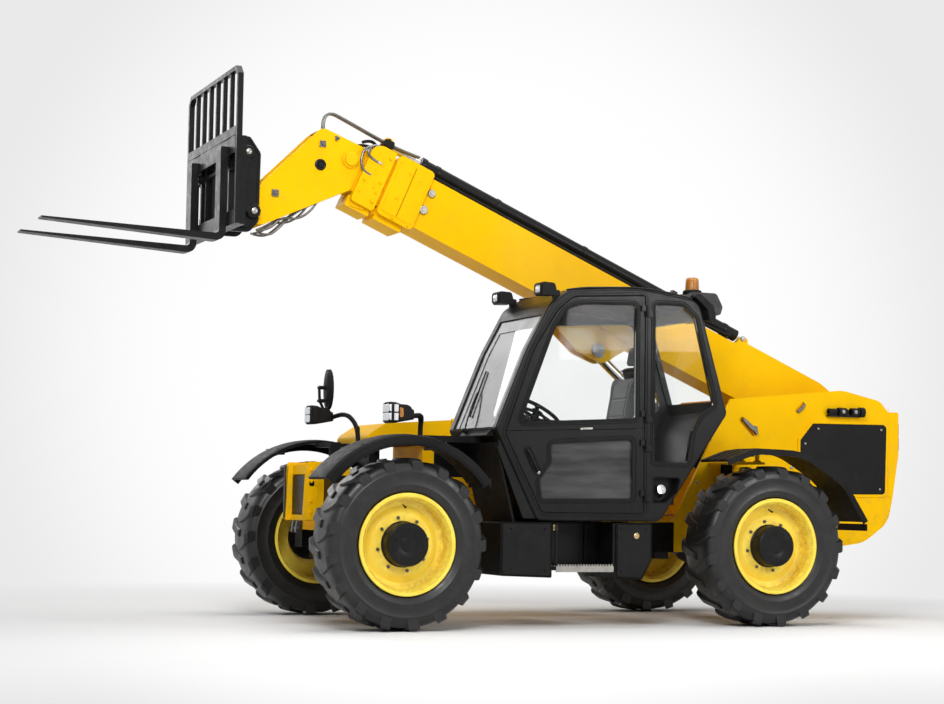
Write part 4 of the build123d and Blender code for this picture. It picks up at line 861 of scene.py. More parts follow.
run("hand_rail", "root", [at(250, 900, 1470), at(262, 905, 1640), at(275, 960, 1790), at(290, 1040, 1890)],
    12, PLASTIC)
arm = Form()
arm.plate([(1560, 1400, 24), (1560, 1452, 24), (1850, 1478, 24), (1850, 1424, 24)], 862, 922)
arm.plate([(1815, 1420, 10), (1850, 1420, 10), (1880, 1300, 10), (1845, 1300, 10)], 858, 880)
piece(arm, "arm_rest", "root", PLASTIC, bevel=14)
shell = Form()
shell.plate([(1912, 1262, 20), (1990, 1262, 30), (2052, 1840, 50), (2012, 1900, 60), (1975, 1880, 40),
             (2002, 1822, 20)], 415, 835)
piece(shell, "seat_shell", "root", PLASTIC, bevel=14)
bellows = Form()
profile = [(0, 0), (150, 0)]
for i in range(6):
    profile += [(165, 12 + 30 * i), (165, 20 + 30 * i), (148, 34 + 30 * i)]
bellows.lathe(at(625, 1660, 836), UP, profile + [(0, 214)], 40, flat=1.0)
piece(bellows, "seat_bellows", "root", RUBBER_TRIM, smooth=60)
head = Form()
head.plate([(1960, 1905, 24), (1990, 2050, 40), (2046, 2046, 40), (2050, 1912, 24)], 520, 730)
piece(head, "head_rest", "root", CLOTH, bevel=22)
for x in (575, 675):
    run(f"head_rest_rod_{x}", "root", [at(x, 2005, 1860), at(x, 2008, 1890), at(x, 2012, 1925)], 7, STEEL)
headliner = Form()
headliner.plate([(1240, 2336, 20), (1300, 2350, 20), (1800, 2376, 200), (2200, 2330, 40), (2180, 2318, 20),
                 (1800, 2362, 200), (1310, 2336, 20)], 250, 1000)
piece(headliner, "headliner", "root", PLASTIC, bevel=3)
mat = Form()
mat.box(260, 990, 1060, 2120, 800.5, 808)
for i in range(14):
    mat.box(300, 950, 1090 + i * 26, 1102 + i * 26, 808, 812)
piece(mat, "floor_mat", "root", RUBBER_TRIM, bevel=1)


# ------------------------------------------------------------------ boom
SECTION_END = 4340             # front end of the inner section, along the boom
OUTER_SIDE, OUTER_COLLAR, MIDDLE_COLLAR, CHEEK = 145, 175, 155, 123
HOSE = 10

# columns: across, along, up, size across flats
bolts = {
    "middle_collar": ("boom_middle", MIDDLE_COLLAR, [(4165, 175, 20), (4165, -22, 22), (4165, -106, 18),
                                                     (4165, -179, 24), (4285, -150, 18), (4285, -60, 18)]),
    "outer_collar": ("boom", OUTER_COLLAR, [(3990, 141, 20), (3893, 129, 20), (4014, -70, 24),
                                            (3981, -223, 20), (3850, -223, 18), (4075, 190, 18)]),
    "outer_side": ("boom", OUTER_SIDE, [(3760, 80, 24), (3790, 128, 18)]),
}
for name, (body, side, rows) in bolts.items():
    form = Form()
    for along, up, size in rows:
        for s in (-1, 1):
            form.nut(on_boom(s * side, along, up), LEFT * s, size, size * 0.55)
    piece(form, f"{name}_bolts", body, YELLOW, smooth=25)

# slots and cover plates on the collars
slots = Form()
for s in (-1, 1):
    for along, up in ((4200, 120), (4230, 40), (4200, -60)):
        slots.plate([(along - 9, up - 26, 8), (along + 9, up - 26, 8), (along + 9, up + 26, 8),
                     (along - 9, up + 26, 8)], s * MIDDLE_COLLAR, s * (MIDDLE_COLLAR + 7), on_boom)
piece(slots, "collar_shims", "boom_middle", YELLOW, bevel=1.5)
covers = Form()
for s in (-1, 1):
    covers.plate([(3835, -205, 20), (4085, -205, 20), (4085, 205, 20), (3835, 205, 20)],
                 s * OUTER_COLLAR, s * (OUTER_COLLAR + 5), on_boom)
    covers.plate([(3955, -200, 6), (3965, -200, 6), (3965, 200, 6), (3955, 200, 6)],
                 s * (OUTER_COLLAR + 5), s * (OUTER_COLLAR + 8), on_boom)
piece(covers, "collar_covers", "boom", YELLOW, bevel=2)

# round pads on the outer section's sides
for name, along, up, radius in (("upper", 3770, 92, 30), ("lower", 3780, -48, 34)):
    disc = Form()
    for s in (-1, 1):
        disc.lathe(on_boom(s * OUTER_SIDE, along, up), LEFT * s,
                   [(radius, 0), (radius, 14), (radius - 4, 18), (radius * 0.5, 18), (radius * 0.45, 22),
                    (0, 22)], 36)
    piece(disc, f"side_pad_{name}", "boom", STEEL)

# head: roller bosses, pins and holes with their rings
boss = Form()
for s in (-1, 1):
    boss.lathe(on_boom(s * CHEEK, SECTION_END + 93, 32), LEFT * s,
               [(62, 0), (62, 16), (56, 20), (49, 21), (48, 36), (43, 40), (20, 41), (0, 41)], 48)
piece(boss, "head_rollers", "boom_inner", YELLOW)
marks = Form()
for s in (-1, 1):
    # columns: along, up, half size of each pinned plate; last, how many corners it has
    for along, up, size, corners in ((4670, 40, 34, 4), (4590, 128, 28, 3), (4841, -454, 36, 4)):
        turns = [math.tau * (i + 0.25) / corners for i in range(corners)]
        marks.plate([(along + size * math.cos(a), up + size * math.sin(a), 6) for a in turns],
                    s * (CHEEK - 1), s * (CHEEK + 12), on_boom)
        marks.nut(on_boom(s * (CHEEK + 11), along, up), LEFT * s, size * 0.7, 9)
piece(marks, "head_pin_plates", "boom_inner", STEEL_DARK, bevel=2)
ring = Form()
for s in (-1, 1):
    ring.lathe(on_boom(s * CHEEK, 4622, -106), LEFT * s,
               [(42, 0), (42, 5), (36, 9), (26, 9), (24, 2), (22, 2), (20, 12), (0, 13)], 40)
piece(ring, "head_pin_ends", "boom_inner", HUB)
ridge = Form()
for s in (-1, 1):
    ridge.plate([(4350, -150, 2), (4362, -150, 2), (4362, 140, 2), (4350, 140, 2)],
                s * CHEEK, s * (CHEEK + 4), on_boom)
piece(ridge, "head_weld", "boom_inner", YELLOW, bevel=1.5)

# steel supply pipes over the head, and their clamp
for name, x in (("near", 76), ("far", 108)):
    run(f"head_pipe_{name}", "boom_inner",
        [at(x, -315, 3560), at(x, -319, 3618), at(x, -300, 3676), at(x, -253, 3698), at(x, -175, 3665),
         at(x, 141, 3523), at(x, 300, 3462), at(x, 440, 3424)], 10, PIPE)
clamp = Form()
clamp.plate([(4165, 262, 6), (4260, 262, 6), (4250, 312, 14), (4175, 312, 14)], 56, 126, on_boom)
clamp.nut(on_boom(92, 4212, 311), RISE, 24, 16)
piece(clamp, "pipe_clamp", "boom_inner", PLASTIC, bevel=3)

# hoses bowed out beside the collars
for s, hand in ((1, "left"), (-1, "right")):
    run(f"collar_hose_a_{hand}", "boom_middle",
        [at(s * 132, 50, 3468), at(s * 150, 20, 3462), at(s * 152, -20, 3432), at(s * 152, -40, 3358),
         at(s * 152, -26, 3290), at(s * 148, 40, 3252), at(s * 136, 95, 3246)], HOSE, PIPE)
    run(f"collar_hose_b_{hand}", "boom_middle",
        [at(s * 150, 91, 3355), at(s * 160, 30, 3380), at(s * 162, 8, 3436), at(s * 150, 60, 3482),
         at(s * 140, 140, 3464), at(s * 130, 225, 3420)], HOSE, PIPE)
    ends = Form()
    ends.bar(at(s * 136, 95, 3246), at(s * 136, 128, 3240), 15, 6)
    ends.bar(at(s * 150, 91, 3355), at(s * 146, 122, 3342), 15, 6)
    ends.bar(at(s * 132, 50, 3468), at(s * 130, 82, 3462), 15, 6)
    piece(ends, f"collar_fittings_{hand}", "boom_middle", STEEL, smooth=25)
for s, hand in ((1, "left"), (-1, "right")):
    cable = [on_boom(s * 60, 4290, 246), on_boom(s * 100, 4340, 258), on_boom(s * 110, 4400, 200),
             on_boom(s * 96, 4430, 172)]
    run(f"section_hose_{hand}", "boom_middle", cable[:3], 12, RUBBER_TRIM)

# hoses under the head, out of the boom's mouth to the carriage's cross pipe
# columns: across, then control places (behind the front axle, height)
under = [(56, [(-150, 3128), (-205, 3100), (-320, 3052), (-520, 2945), (-650, 2800), (-720, 2768), (-790, 2790)]),
         (96, [(-240, 3100), (-330, 3068), (-400, 2960), (-500, 2896), (-620, 2906), (-700, 2812), (-790, 2796)]),
         (76, [(-190, 3118), (-300, 3050), (-420, 3030), (-560, 2968), (-690, 2850), (-800, 2800)]),
         (-56, [(-150, 3128), (-230, 3090), (-340, 3040), (-500, 2960), (-640, 2810), (-720, 2772), (-790, 2790)]),
         (-96, [(-240, 3100), (-340, 3062), (-420, 2950), (-520, 2890), (-640, 2890), (-710, 2806), (-790, 2796)])]
for i, (x, points) in enumerate(under):
    run(f"head_hose_{i + 1}", "boom_inner", [at(x, y, z) for y, z in points], 8.5, PIPE)

# holders of the wear pads below the collars
for name, body, y, z in (("middle", "boom_middle", -62, 3055), ("outer", "boom", 100, 3010)):
    holder = Form()
    holder.plate([(y - 50, z - 28, 14), (y + 62, z - 62, 14), (y + 78, z - 20, 10), (y - 30, z + 22, 10)],
                 -118, 118)
    piece(holder, f"pad_holder_{name}", body, YELLOW, bevel=4)

# telescope cylinder: end cap, bands and hose
gland = Form()
gland.lathe(on_boom(0, 3858, 300), ALONG, [(30, 0), (54, 0), (56, 4), (56, 40), (50, 46), (32, 46)], 40)
piece(gland, "telescope_gland", "boom", HUB)
bands = Form()
for along in (1040, 1570, 2400, 3200, 3740):
    bands.lathe(on_boom(0, along, 300), ALONG, [(46, 0), (52, 0), (53, 3), (53, 33), (52, 36), (46, 36)], 40)
piece(bands, "telescope_bands", "boom", BLACK)
tail = Form()
tail.nut(on_boom(26, 880, 300), LEFT, 36, 16)
tail.nut(on_boom(-26, 880, 300), -LEFT, 36, 16)
piece(tail, "telescope_tail_pin", "boom", STEEL, smooth=25)
end = Form()
end.plate([(4160, 245, 6), (4230, 245, 6), (4236, 345, 20), (4160, 352, 30)], -52, 52, on_boom)
end.nut(on_boom(52, 4196, 318), LEFT, 30, 14)
end.nut(on_boom(-52, 4196, 318), -LEFT, 30, 14)
piece(end, "telescope_bracket", "boom_middle", YELLOW, bevel=4)
for s in (-1, 1):
    run(f"top_hose_{'left' if s > 0 else 'right'}", "boom",
        [on_boom(s * 74, 1020, 258), on_boom(s * 74, 1200, 232), on_boom(s * 74, 2400, 232),
         on_boom(s * 74, 3600, 232), on_boom(s * 74, 3770, 236)], 13, RUBBER_TRIM)
saddles = Form()
for along in (1300, 1900, 2500, 3100, 3600):
    saddles.box(-96, 96, along - 18, along + 18, 200.5, 222, on_boom)
    for s in (-1, 1):
        saddles.nut(on_boom(s * 92, along, 221), RISE, 14, 8, washer=False)
piece(saddles, "hose_saddles", "boom", BLACK, bevel=2)

# lift cylinder: gland ring, lines and eye bolts
base = Vector(joints["lift_barrel_swing"]["pos_m"])
way = Vector(joints["lift_rod_slide"]["axis"]).normalized()
cylinder = Form()
cylinder.lathe(base + way * 1.452, way, [(60, 0), (86, 0), (90, 5), (90, 48), (84, 52), (44, 52)], 48)
cylinder.lathe(base + way * 0.16, way, [(78, 0), (84, 3), (84, 26), (78, 30)], 48)
for s in (-1, 1):
    cylinder.lathe(base + LEFT * s * 0.058, LEFT * s, [(84, 0), (84, 5), (60, 8), (44, 8)], 40)
piece(cylinder, "lift_gland", "lift_barrel_body", HUB)
across = way.cross(LEFT).normalized() * 0.088
run("lift_line", "lift_barrel_body",
    [base + way * 0.22 + across * 0.9, base + way * 0.25 + across * 1.12, base + way * 0.34 + across * 1.12,
     base + way * 1.30 + across * 1.12, base + way * 1.40 + across * 1.12, base + way * 1.43 + across * 0.9],
    9, PIPE)
ear = Form()
for s in (-1, 1):
    ear.lathe(on_boom(s * 90, 2030, -360), LEFT * s, [(52, 0), (56, 2), (56, 6), (30, 9), (0, 9)], 40)
    ear.nut(on_boom(s * 78, 2290, -250), LEFT * s, 20, 12)
piece(ear, "lift_eye_caps", "boom", STEEL_DARK, smooth=30)

# ------------------------------------------------------------------ carriage and forks
CARRIAGE_SIDE = 159
caps = Form()
domes = Form()
for s in (-1, 1):
    for y, z, radius in ((-852, 2922, 50), (-902, 3344, 46)):
        caps.lathe(at(s * (CARRIAGE_SIDE + 25), y, z), LEFT * s,
                   [(radius, 0), (radius + 2, 3), (radius - 3, 9), (radius * 0.60, 11), (0, 11)], 40)
        domes.lathe(at(s * (CARRIAGE_SIDE + 35), y, z), LEFT * s,
                    [(radius * 0.52, 0), (radius * 0.52, 8), (radius * 0.44, 15), (radius * 0.25, 19), (0, 20)], 32)
    caps.nut(at(s * CARRIAGE_SIDE, -977, 3328), LEFT * s, 30, 18)
    caps.nut(at(s * CARRIAGE_SIDE, -930, 3090), LEFT * s, 14, 8)
    caps.nut(at(s * CARRIAGE_SIDE, -960, 2900), LEFT * s, 14, 8)
    caps.nut(at(s * CARRIAGE_SIDE, -985, 3180), LEFT * s, 14, 8)
piece(caps, "carriage_pin_caps", "carriage_body", BLACK, smooth=28)
piece(domes, "carriage_pins", "carriage_body", STEEL)
edges = Form()
for s in (-1, 1):
    edges.plate([(-1040, 2800, 20), (-880, 2786, 40), (-815, 2860, 50), (-806, 3340, 40), (-880, 3448, 30),
                 (-1040, 3448, 6), (-1040, 3436, 6), (-886, 3436, 24), (-820, 3336, 30), (-829, 2866, 36),
                 (-884, 2800, 30), (-1040, 2814, 10)], s * CARRIAGE_SIDE, s * (CARRIAGE_SIDE + 6))
piece(edges, "carriage_cheek_edges", "carriage_body", BLACK, bevel=2)
stiff = Form()
for s in (-1, 1):
    # gussets, hooks and stops between the beams
    stiff.plate([(-1046, 2861), (-930, 2861, 30), (-1046, 2990, 8)], s * 262, s * 280)
    stiff.plate([(-1046, 3254), (-940, 3254, 30), (-1046, 3130, 8)], s * 262, s * 280)
    stiff.plate([(-1046, 2861), (-960, 2861, 30), (-1046, 2960, 8)], s * 560, s * 578)
    stiff.plate([(-1046, 3254), (-960, 3254, 30), (-1046, 3160, 8)], s * 560, s * 578)
    stiff.box(s * 300, s * 520, -1064, -1047, 2864, 2884)
    stiff.plate([(-1120, 3376, 8), (-1046, 3376), (-1046, 3402, 8), (-1110, 3402, 12)], s * 470, s * 500)
piece(stiff, "carriage_gussets", "carriage_body", BLACK, bevel=2)
lines = [(44, [(-1000, 3170), (-960, 3230), (-1010, 3300), (-1030, 3390)]),
         (-44, [(-1000, 3170), (-950, 3220), (-1000, 3300), (-1030, 3390)])]
for i, (x, points) in enumerate(lines):
    run(f"carriage_hose_{i + 1}", "carriage_body", [at(x, y, z) for y, z in points], 10, HOSE_RUBBER)
block = Form()
block.box(-70, 70, -1044, -990, 3386, 3440)
for x in (-44, 0, 44):
    block.bar(at(x, -1016, 3438), at(x, -1016, 3466), 14, 6)
    block.bar(at(x, -1016, 3464), at(x, -1016, 3478), 18, 24)
piece(block, "carriage_valve", "carriage_body", STEEL_DARK, bevel=1.5)
sleeve = Form()
for s in (-1, 1):
    for x0, x1 in ((318, 328), (452, 462)):
        sleeve.lathe(at(s * x0, -1067, 3206), LEFT * s, [(20, 0), (31, 0), (31, x1 - x0), (20, x1 - x0)], 32)
    # eye of the fork round the shaft, with its locking pin
    sleeve.lathe(at(s * 330, -1067, 3206), LEFT * s, [(21, 0), (44, 0), (46, 3), (46, 117), (44, 120),
                                                       (21, 120)], 40)
    sleeve.bar(at(s * 390, -1067, 3246), at(s * 390, -1067, 3290), 9, 16)
    sleeve.lathe(at(s * 390, -1067, 3286), UP, [(9, 0), (17, 2), (17, 10), (12, 13), (0, 13)], 24)
piece(sleeve, "fork_eyes", "carriage_body", BLACK)
welds = Form()
for s in (-1, 1):
    for z in (3376, 3254):
        welds.bar(at(s * 300, -1128, z), at(s * 480, -1128, z), 5, 8)
    welds.plate([(-1176, 3290, 6), (-1170, 3322, 10), (-1132, 3322, 6), (-1130, 3290, 4)],
                s * 345, s * 435)
piece(welds, "fork_tops", "carriage_body", BLACK, bevel=2)
wear = Form()
for s in (-1, 1):
    wear.prism([at(s * 390 - 58, -1235, 2712.4), at(s * 390 - 58, -2140, 2739.9),
                at(s * 390 - 40, -2385, 2747.3), at(s * 390 + 40, -2385, 2747.3),
                at(s * 390 + 58, -2140, 2739.9), at(s * 390 + 58, -1235, 2712.4)], UP * 0.0012)
piece(wear, "fork_wear_strips", "carriage_body", WORN)

# tilt cylinder fittings
tilt = Vector(joints["tilt_rod_slide"]["axis"]).normalized()
tilt_base = Vector(joints["tilt_barrel_swing"]["pos_m"])
collar = Form()
collar.lathe(tilt_base + tilt * 0.676, tilt, [(30, 0), (58, 0), (60, 4), (60, 40), (55, 44), (26.5, 44)], 40)
piece(collar, "tilt_gland", "tilt_barrel_body", HUB)

# ------------------------------------------------------------------ nose and fenders
nose = Form()
nose.gasket([(-425, 1142, 4), (-341, 1143, 4), (-341, 1060, 4), (-425, 1060, 4)], 0, -14, 396, 402)
for s in (-1, 1):
    # front posts with a square eye, beside the radiator plate
    nose.plate([(-449, 735, 10), (-362, 735, 10), (-340, 1000, 20), (-340, 1150, 10), (-428, 1150, 20),
                (-449, 950, 20)], s * 231, s * 236)
    for z in (790, 870, 1010, 1090):
        nose.nut(at(s * 236, -398, z), LEFT * s, 22, 12)
piece(nose, "nose_posts", "root", YELLOW, bevel=3)
plate = Form()
plate.facing([(-190, 775, 10), (190, 775, 10), (190, 1052, 10), (-190, 1052, 10)], -400, -394)
for s in (-1, 1):
    # dark guards over the frame's square front corners, and the eye in each post
    plate.facing([(s * 238, 530, 8), (s * 402, 530, 8), (s * 402, 1052, 8), (s * 238, 1052, 8)], -304, -300)
    plate.plate([(-304, 530, 8), (-150, 530, 8), (-150, 1052, 8), (-304, 1052, 8)], s * 400, s * 405)
    plate.plate([(-412, 976, 5), (-374, 976, 5), (-374, 1014, 5), (-412, 1014, 5)], s * 235, s * 238)
    # black plate over the frame's lower side between the box and the rear wheel: a dark sheet standing in for the
    # shade under the cab
    plate.plate([(1897, 520, 8), (2440, 520, 8), (2440, 745, 8), (1897, 745, 8)], s * 400, s * 405)
plate.facing([(-232, 740, 8), (-194, 740, 8), (-194, 1128, 8), (-232, 1128, 8)], -455, -449)
# liner between the left fender and the cab, under the front cover
plate.plate([(470, 1056, 8), (735, 1056, 8), (735, 1325, 8), (470, 1325, 8)], 404, 409)
piece(plate, "nose_plate", "root", BLACK, bevel=2)
tow = Form()
tow.plate([(-452, 640, 14), (-400, 640, 14), (-396, 726, 6), (-440, 726, 6)], -60, -30)
tow.plate([(-452, 640, 14), (-400, 640, 14), (-396, 726, 6), (-440, 726, 6)], 30, 60)
tow.bar(at(-74, -426, 672), at(74, -426, 672), 14, 20)
piece(tow, "front_tow_eye", "root", STEEL_DARK, bevel=2)
for s, hand in ((1, "left"), (-1, "right")):
    # smooth crowned skin over the fender's strip, rolled down at its edges
    rings = []
    for k in range(31):
        turn = math.radians(-53.4 + k * 107.8 / 30)
        ring = []
        for x, reach in ((750, 724), (748, 738), (756, 743), (800, 747), (870, 751), (950, 752), (1030, 751),
                         (1100, 746), (1140, 739), (1149, 730), (1149.5, 676), (1144, 670), (1138, 676),
                         (1136, 722)):
            ring.append(at(s * x, 5 + reach * math.sin(turn), 587.5 + reach * math.cos(turn)))
        rings.append(ring)
    skin = Form()
    made = skin.skin(rings)
    skin.bm.faces.new(made[0])
    skin.bm.faces.new(made[-1])
    piece(skin, f"front_fender_skin_{hand}", "root", FENDER, smooth=50)
    brace = Form()
    for angle in (-26, 22):
        y, z = 5 + 700 * math.sin(math.radians(angle)), 587.5 + 700 * math.cos(math.radians(angle))
        brace.plate([(y - 16, z - 2, 4), (y + 16, z - 2, 4), (y + 16, z + 16, 4), (y - 16, z + 16, 4)],
                    s * 750, s * 1120)
        for x in (800, 960, 1090):
            top_y = 5 + 750 * math.sin(math.radians(angle))
            top_z = 587.5 + 750 * math.cos(math.radians(angle))
            brace.nut(at(s * x, top_y, top_z - 4), at(0, top_y, top_z) - at(0, 5, 587.5), 13, 5)
    piece(brace, f"front_fender_brace_{hand}", "root", BLACK, bevel=1.5)
    posts = Form()
    for y in (2800, 2935):
        posts.bar(at(s * 790, y, 1216), at(s * 790, y, 1264), 17, 24)
        posts.lathe(at(s * 790, y, 1208), UP, [(0, 0), (30, 0), (30, 6), (20, 10), (0, 10)], 28)
        posts.nut(at(s * 790, y, 1284), UP, 22, 10)
    posts.plate([(2740, 1190, 8), (2990, 1190, 8), (2990, 1208, 6), (2740, 1208, 6)], s * 400, s * 812)
    piece(posts, f"rear_fender_posts_{hand}", "root", YELLOW, bevel=1.5)
flaps = Form()
for s in (-1, 1):
    flaps.plate([(592, 980, 4), (600, 980, 4), (606, 1040, 4), (594, 1046, 4)], s * 760, s * 1146)
    flaps.plate([(3668, 756, 4), (3680, 756, 4), (3680, 700, 10), (3664, 706, 6)], s * 760, s * 1140)
piece(flaps, "fender_flaps", "root", RUBBER_TRIM, bevel=1)

# ------------------------------------------------------------------ lamps, mirror and beacon
def lamp_front(name, x, z, half_w, half_h, y, body="root"):
    """Bezel and ribbed lens over a lamp's face."""
    outline = [(x - half_w, z - half_h, 20), (x + half_w, z - half_h, 20), (x + half_w, z + half_h, 20),
               (x - half_w, z + half_h, 20)]
    rings = []
    for offset, reach in ((0, 0), (2, -8), (0, -12), (-9, -13), (-11, -6)):
        rings.append([at(a, y + reach, b) for a, b in soft(grow(outline, offset), 6)])
    rim = Form()
    rim.skin(rings)
    piece(rim, f"{name}_bezel", body, PLASTIC, smooth=50)
    rings = []
    for offset, reach in ((-10, -4), (-14, -9), (-26, -13), (-44, -15)):
        rings.append([at(a, y + reach, b) for a, b in soft(grow(outline, max(offset, 6 - half_h)), 6)])
    rings.append([at(x, y - 16, z)])
    lens = Form()
    lens.skin(rings)
    piece(lens, f"{name}_lens", body, LENS, smooth=50)
    glow = Form()
    for spot in (-0.34, 0.34):
        glow.lathe(at(x, y - 4, z + spot * half_h), -BACK,
                   [(half_h * 0.38, 0), (half_h * 0.38, 8), (half_h * 0.2, 3), (0, 2)], 28)
    piece(glow, f"{name}_bowls", body, CHROME)


lamp_front("left_headlamp", 862, 1488, 68, 66, -60)
lamp_front("right_headlamp", -862, 1528, 68, 66, -60)
lamp_front("left_work_lamp", 1000, 2392, 54, 38, 1012)
lamp_front("right_work_lamp", 250, 2392, 54, 38, 1012)
for name, s, rise in (("left", 1, 0), ("right", -1, 40)):
    # the lens wraps round the outer side in two cells, with a small amber part behind it
    cells = Form()
    for low, high in ((1432, 1485), (1491, 1544)):
        cells.plate([(-74, low + rise, 12), (-8, low + rise, 6), (-8, high + rise, 6), (-74, high + rise, 12)],
                    s * 926, s * 936)
        cells.facing([(s * 806, low + rise, 10), (s * 930, low + rise, 10), (s * 930, high + rise, 10),
                      (s * 806, high + rise, 10)], -78, -72)
    piece(cells, f"{name}_lamp_cells", "root", PRISM, bevel=3)
    shell = Form()
    shell.plate([(-76, 1424 + rise, 16), (60, 1434 + rise, 30), (96, 1452 + rise, 30), (96, 1528 + rise, 30),
                 (60, 1544 + rise, 30), (-76, 1552 + rise, 16)], s * 800, s * 929)
    piece(shell, f"{name}_lamp_shell", "root", PLASTIC, bevel=8)
    turn = Form()
    turn.plate([(2, 1452 + rise, 8), (30, 1460 + rise, 10), (28, 1518 + rise, 10), (0, 1526 + rise, 8)],
               s * 926, s * 938)
    piece(turn, f"{name}_indicator", "root", AMBER, bevel=3)
    joint = Form()
    joint.lathe(at(s * 862, 112, 1462 + rise), UP, [(0, -14), (22, -12), (24, 0), (22, 14), (0, 16)], 24)
    joint.nut(at(s * 862, 112, 1478 + rise), UP, 18, 8)
    piece(joint, f"{name}_lamp_joint", "root", PLASTIC)
run("left_lamp_arm", "root", [at(862, 104, 1466), at(845, 150, 1474), at(800, 208, 1476),
                              at(735, 240, 1460), at(702, 246, 1412), at(700, 246, 1344)],
    18, PLASTIC)
run("right_lamp_arm", "root", [at(-862, 104, 1508), at(-772, 148, 1531), at(-680, 160, 1532),
                               at(-590, 172, 1514), at(-508, 187, 1462), at(-460, 195, 1395),
                               at(-455, 195, 1330)], 18, PLASTIC)
mirror = Form()
centre = at(-862, 78, 1730)
mirror.lathe(centre, BACK, [(0, -16), (70, -14), (116, -8), (144, 2), (155, 12), (157, 24), (152, 28)], 56,
             88 / 155)
piece(mirror, "mirror_shell", "root", PLASTIC, smooth=60)
silver = Form()
silver.lathe(centre, BACK, [(0, 28), (146, 28), (146, 25)], 56, 88 / 155)
piece(silver, "mirror_glass", "root", CHROME)
mount = Form()
for z in (1640, 1742):
    mount.bar(at(-862, 10, z), at(-862, 62, z), 15, 20)
    mount.bar(at(-885, 18, z), at(-839, 18, z), 13, 20)
mount.nut(at(-839, 18, 1742), LEFT, 18, 8)
piece(mount, "mirror_mount", "root", PLASTIC)

low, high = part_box("beacon")
spin = Vector(((low[0] + high[0]) / 2, (low[1] + high[1]) / 2, low[2]))
base_ring = Form()
base_ring.lathe(spin, UP, [(56, -4), (68, -4), (70, 0), (70, 14), (64, 22), (56, 24), (50, 24)], 48)
piece(base_ring, "beacon_base", "root", PLASTIC)
dome = Form()
profile = [(51, 24)]
for i in range(11):
    profile += [(52 - i * 0.35, 26 + i * 7), (50.5 - i * 0.35, 30 + i * 7)]
dome.lathe(spin, UP, profile + [(46, 106), (38, 114), (20, 118), (0, 119)], 48)
piece(dome, "beacon_lens", "root", AMBER, smooth=60)

# ------------------------------------------------------------------ boxes under the cab
panels = Form()
panels.plate([(735, 388, 14), (1100, 374, 8), (1100, 732, 8), (735, 732, 8)], SIDE, SIDE + 5)
panels.plate([(1630, 366, 8), (1818, 358, 16), (1892, 492, 16), (1892, 732, 8), (1630, 732, 8)],
             SIDE, SIDE + 5)
panels.plate([(1130, 450, 8), (1600, 450, 8), (1600, 735, 8), (1130, 735, 8)], 760, 764)
panels.plate([(1500, 450, 4), (1512, 450, 4), (1512, 735, 4), (1500, 735, 4)], 764, 790)
piece(panels, "box_doors", "root", BLACK, bevel=2.5)
knob = Form()
knob.lathe(at(SIDE + 5, 1780, 655), LEFT, [(22, 0), (22, 4), (17, 7), (15, 4), (7, 4), (6, 9), (0, 9)], 36)
piece(knob, "box_lock", "root", BRASS)
catch = Form()
catch.plate([(1254, 685, 4), (1292, 685, 4), (1292, 727, 4), (1254, 727, 4)], 764, 772)
catch.plate([(1262, 692, 3), (1284, 692, 3), (1284, 708, 3), (1262, 708, 3)], 772, 782)
piece(catch, "box_catch", "root", BRASS, bevel=1)
tread = Form()
tread.box(1040, 1053, 1150, 1600, 398, 440)
for i in range(20):
    y = 1160 + i * 22
    tread.plate([(y, 440), (y + 14, 440), (y + 11, 453, 2), (y + 3, 453, 2)], 1036, 1053)
for i in range(7):
    y = 1115 + (i + 0.5) * 68.6 - 34
    for x in (850, 900, 950, 1000):
        tread.lathe(at(x, y, 435), UP, [(9, -1), (8, 4), (0, 5)], 12)
piece(tread, "step_tread", "root", STEEL, bevel=1)
for i, y in enumerate((1150, 1600)):
    run(f"step_hanger_{i + 1}", "root", [at(1046, y, 440), at(1046, y, 600), at(1046, y, 742)], 9, BLACK)
bolts_low = Form()
for y, z in ((800, 700), (1060, 700), (800, 420), (1060, 410), (1660, 700), (1860, 700), (1660, 400)):
    bolts_low.nut(at(SIDE + 5, y, z), LEFT, 13, 7)
piece(bolts_low, "box_bolts", "root", BLACK)

# ------------------------------------------------------------------ rear
FRAME_SIDE = 400
coupling = Form()
for s in (-1, 1):
    for y, radius in ((3790, 24), (3880, 33), (4000, 33)):
        coupling.lathe(at(s * 438, y, 1628), BACK, [(radius - 8, 0), (radius, 4), (radius, 66),
                       (radius - 4, 70), (radius - 4, 78), (radius - 12, 92), (0, 92)], 32)
    coupling.lathe(at(s * 438, 4078, 1628), BACK, [(30, 0), (40, 3), (40, 42), (34, 46), (0, 46)], 32)
    coupling.box(s * 400, s * 442, 3800, 4090, 1588, 1606)
piece(coupling, "rear_couplings", "root", HUB, bevel=0)
nipples = Form()
for s in (-1, 1):
    for y in (3905, 4020):
        nipples.nut(at(s * 470, y + 10, 1628), LEFT * s, 24, 10)
piece(nipples, "coupling_nuts", "root", STEEL, smooth=25)
panel = [(3560, 1397, 12), (3674, 1528, 12), (4358, 1535, 34), (4342, 985, 30), (3810, 978, 20),
         (3560, 1220, 12)]
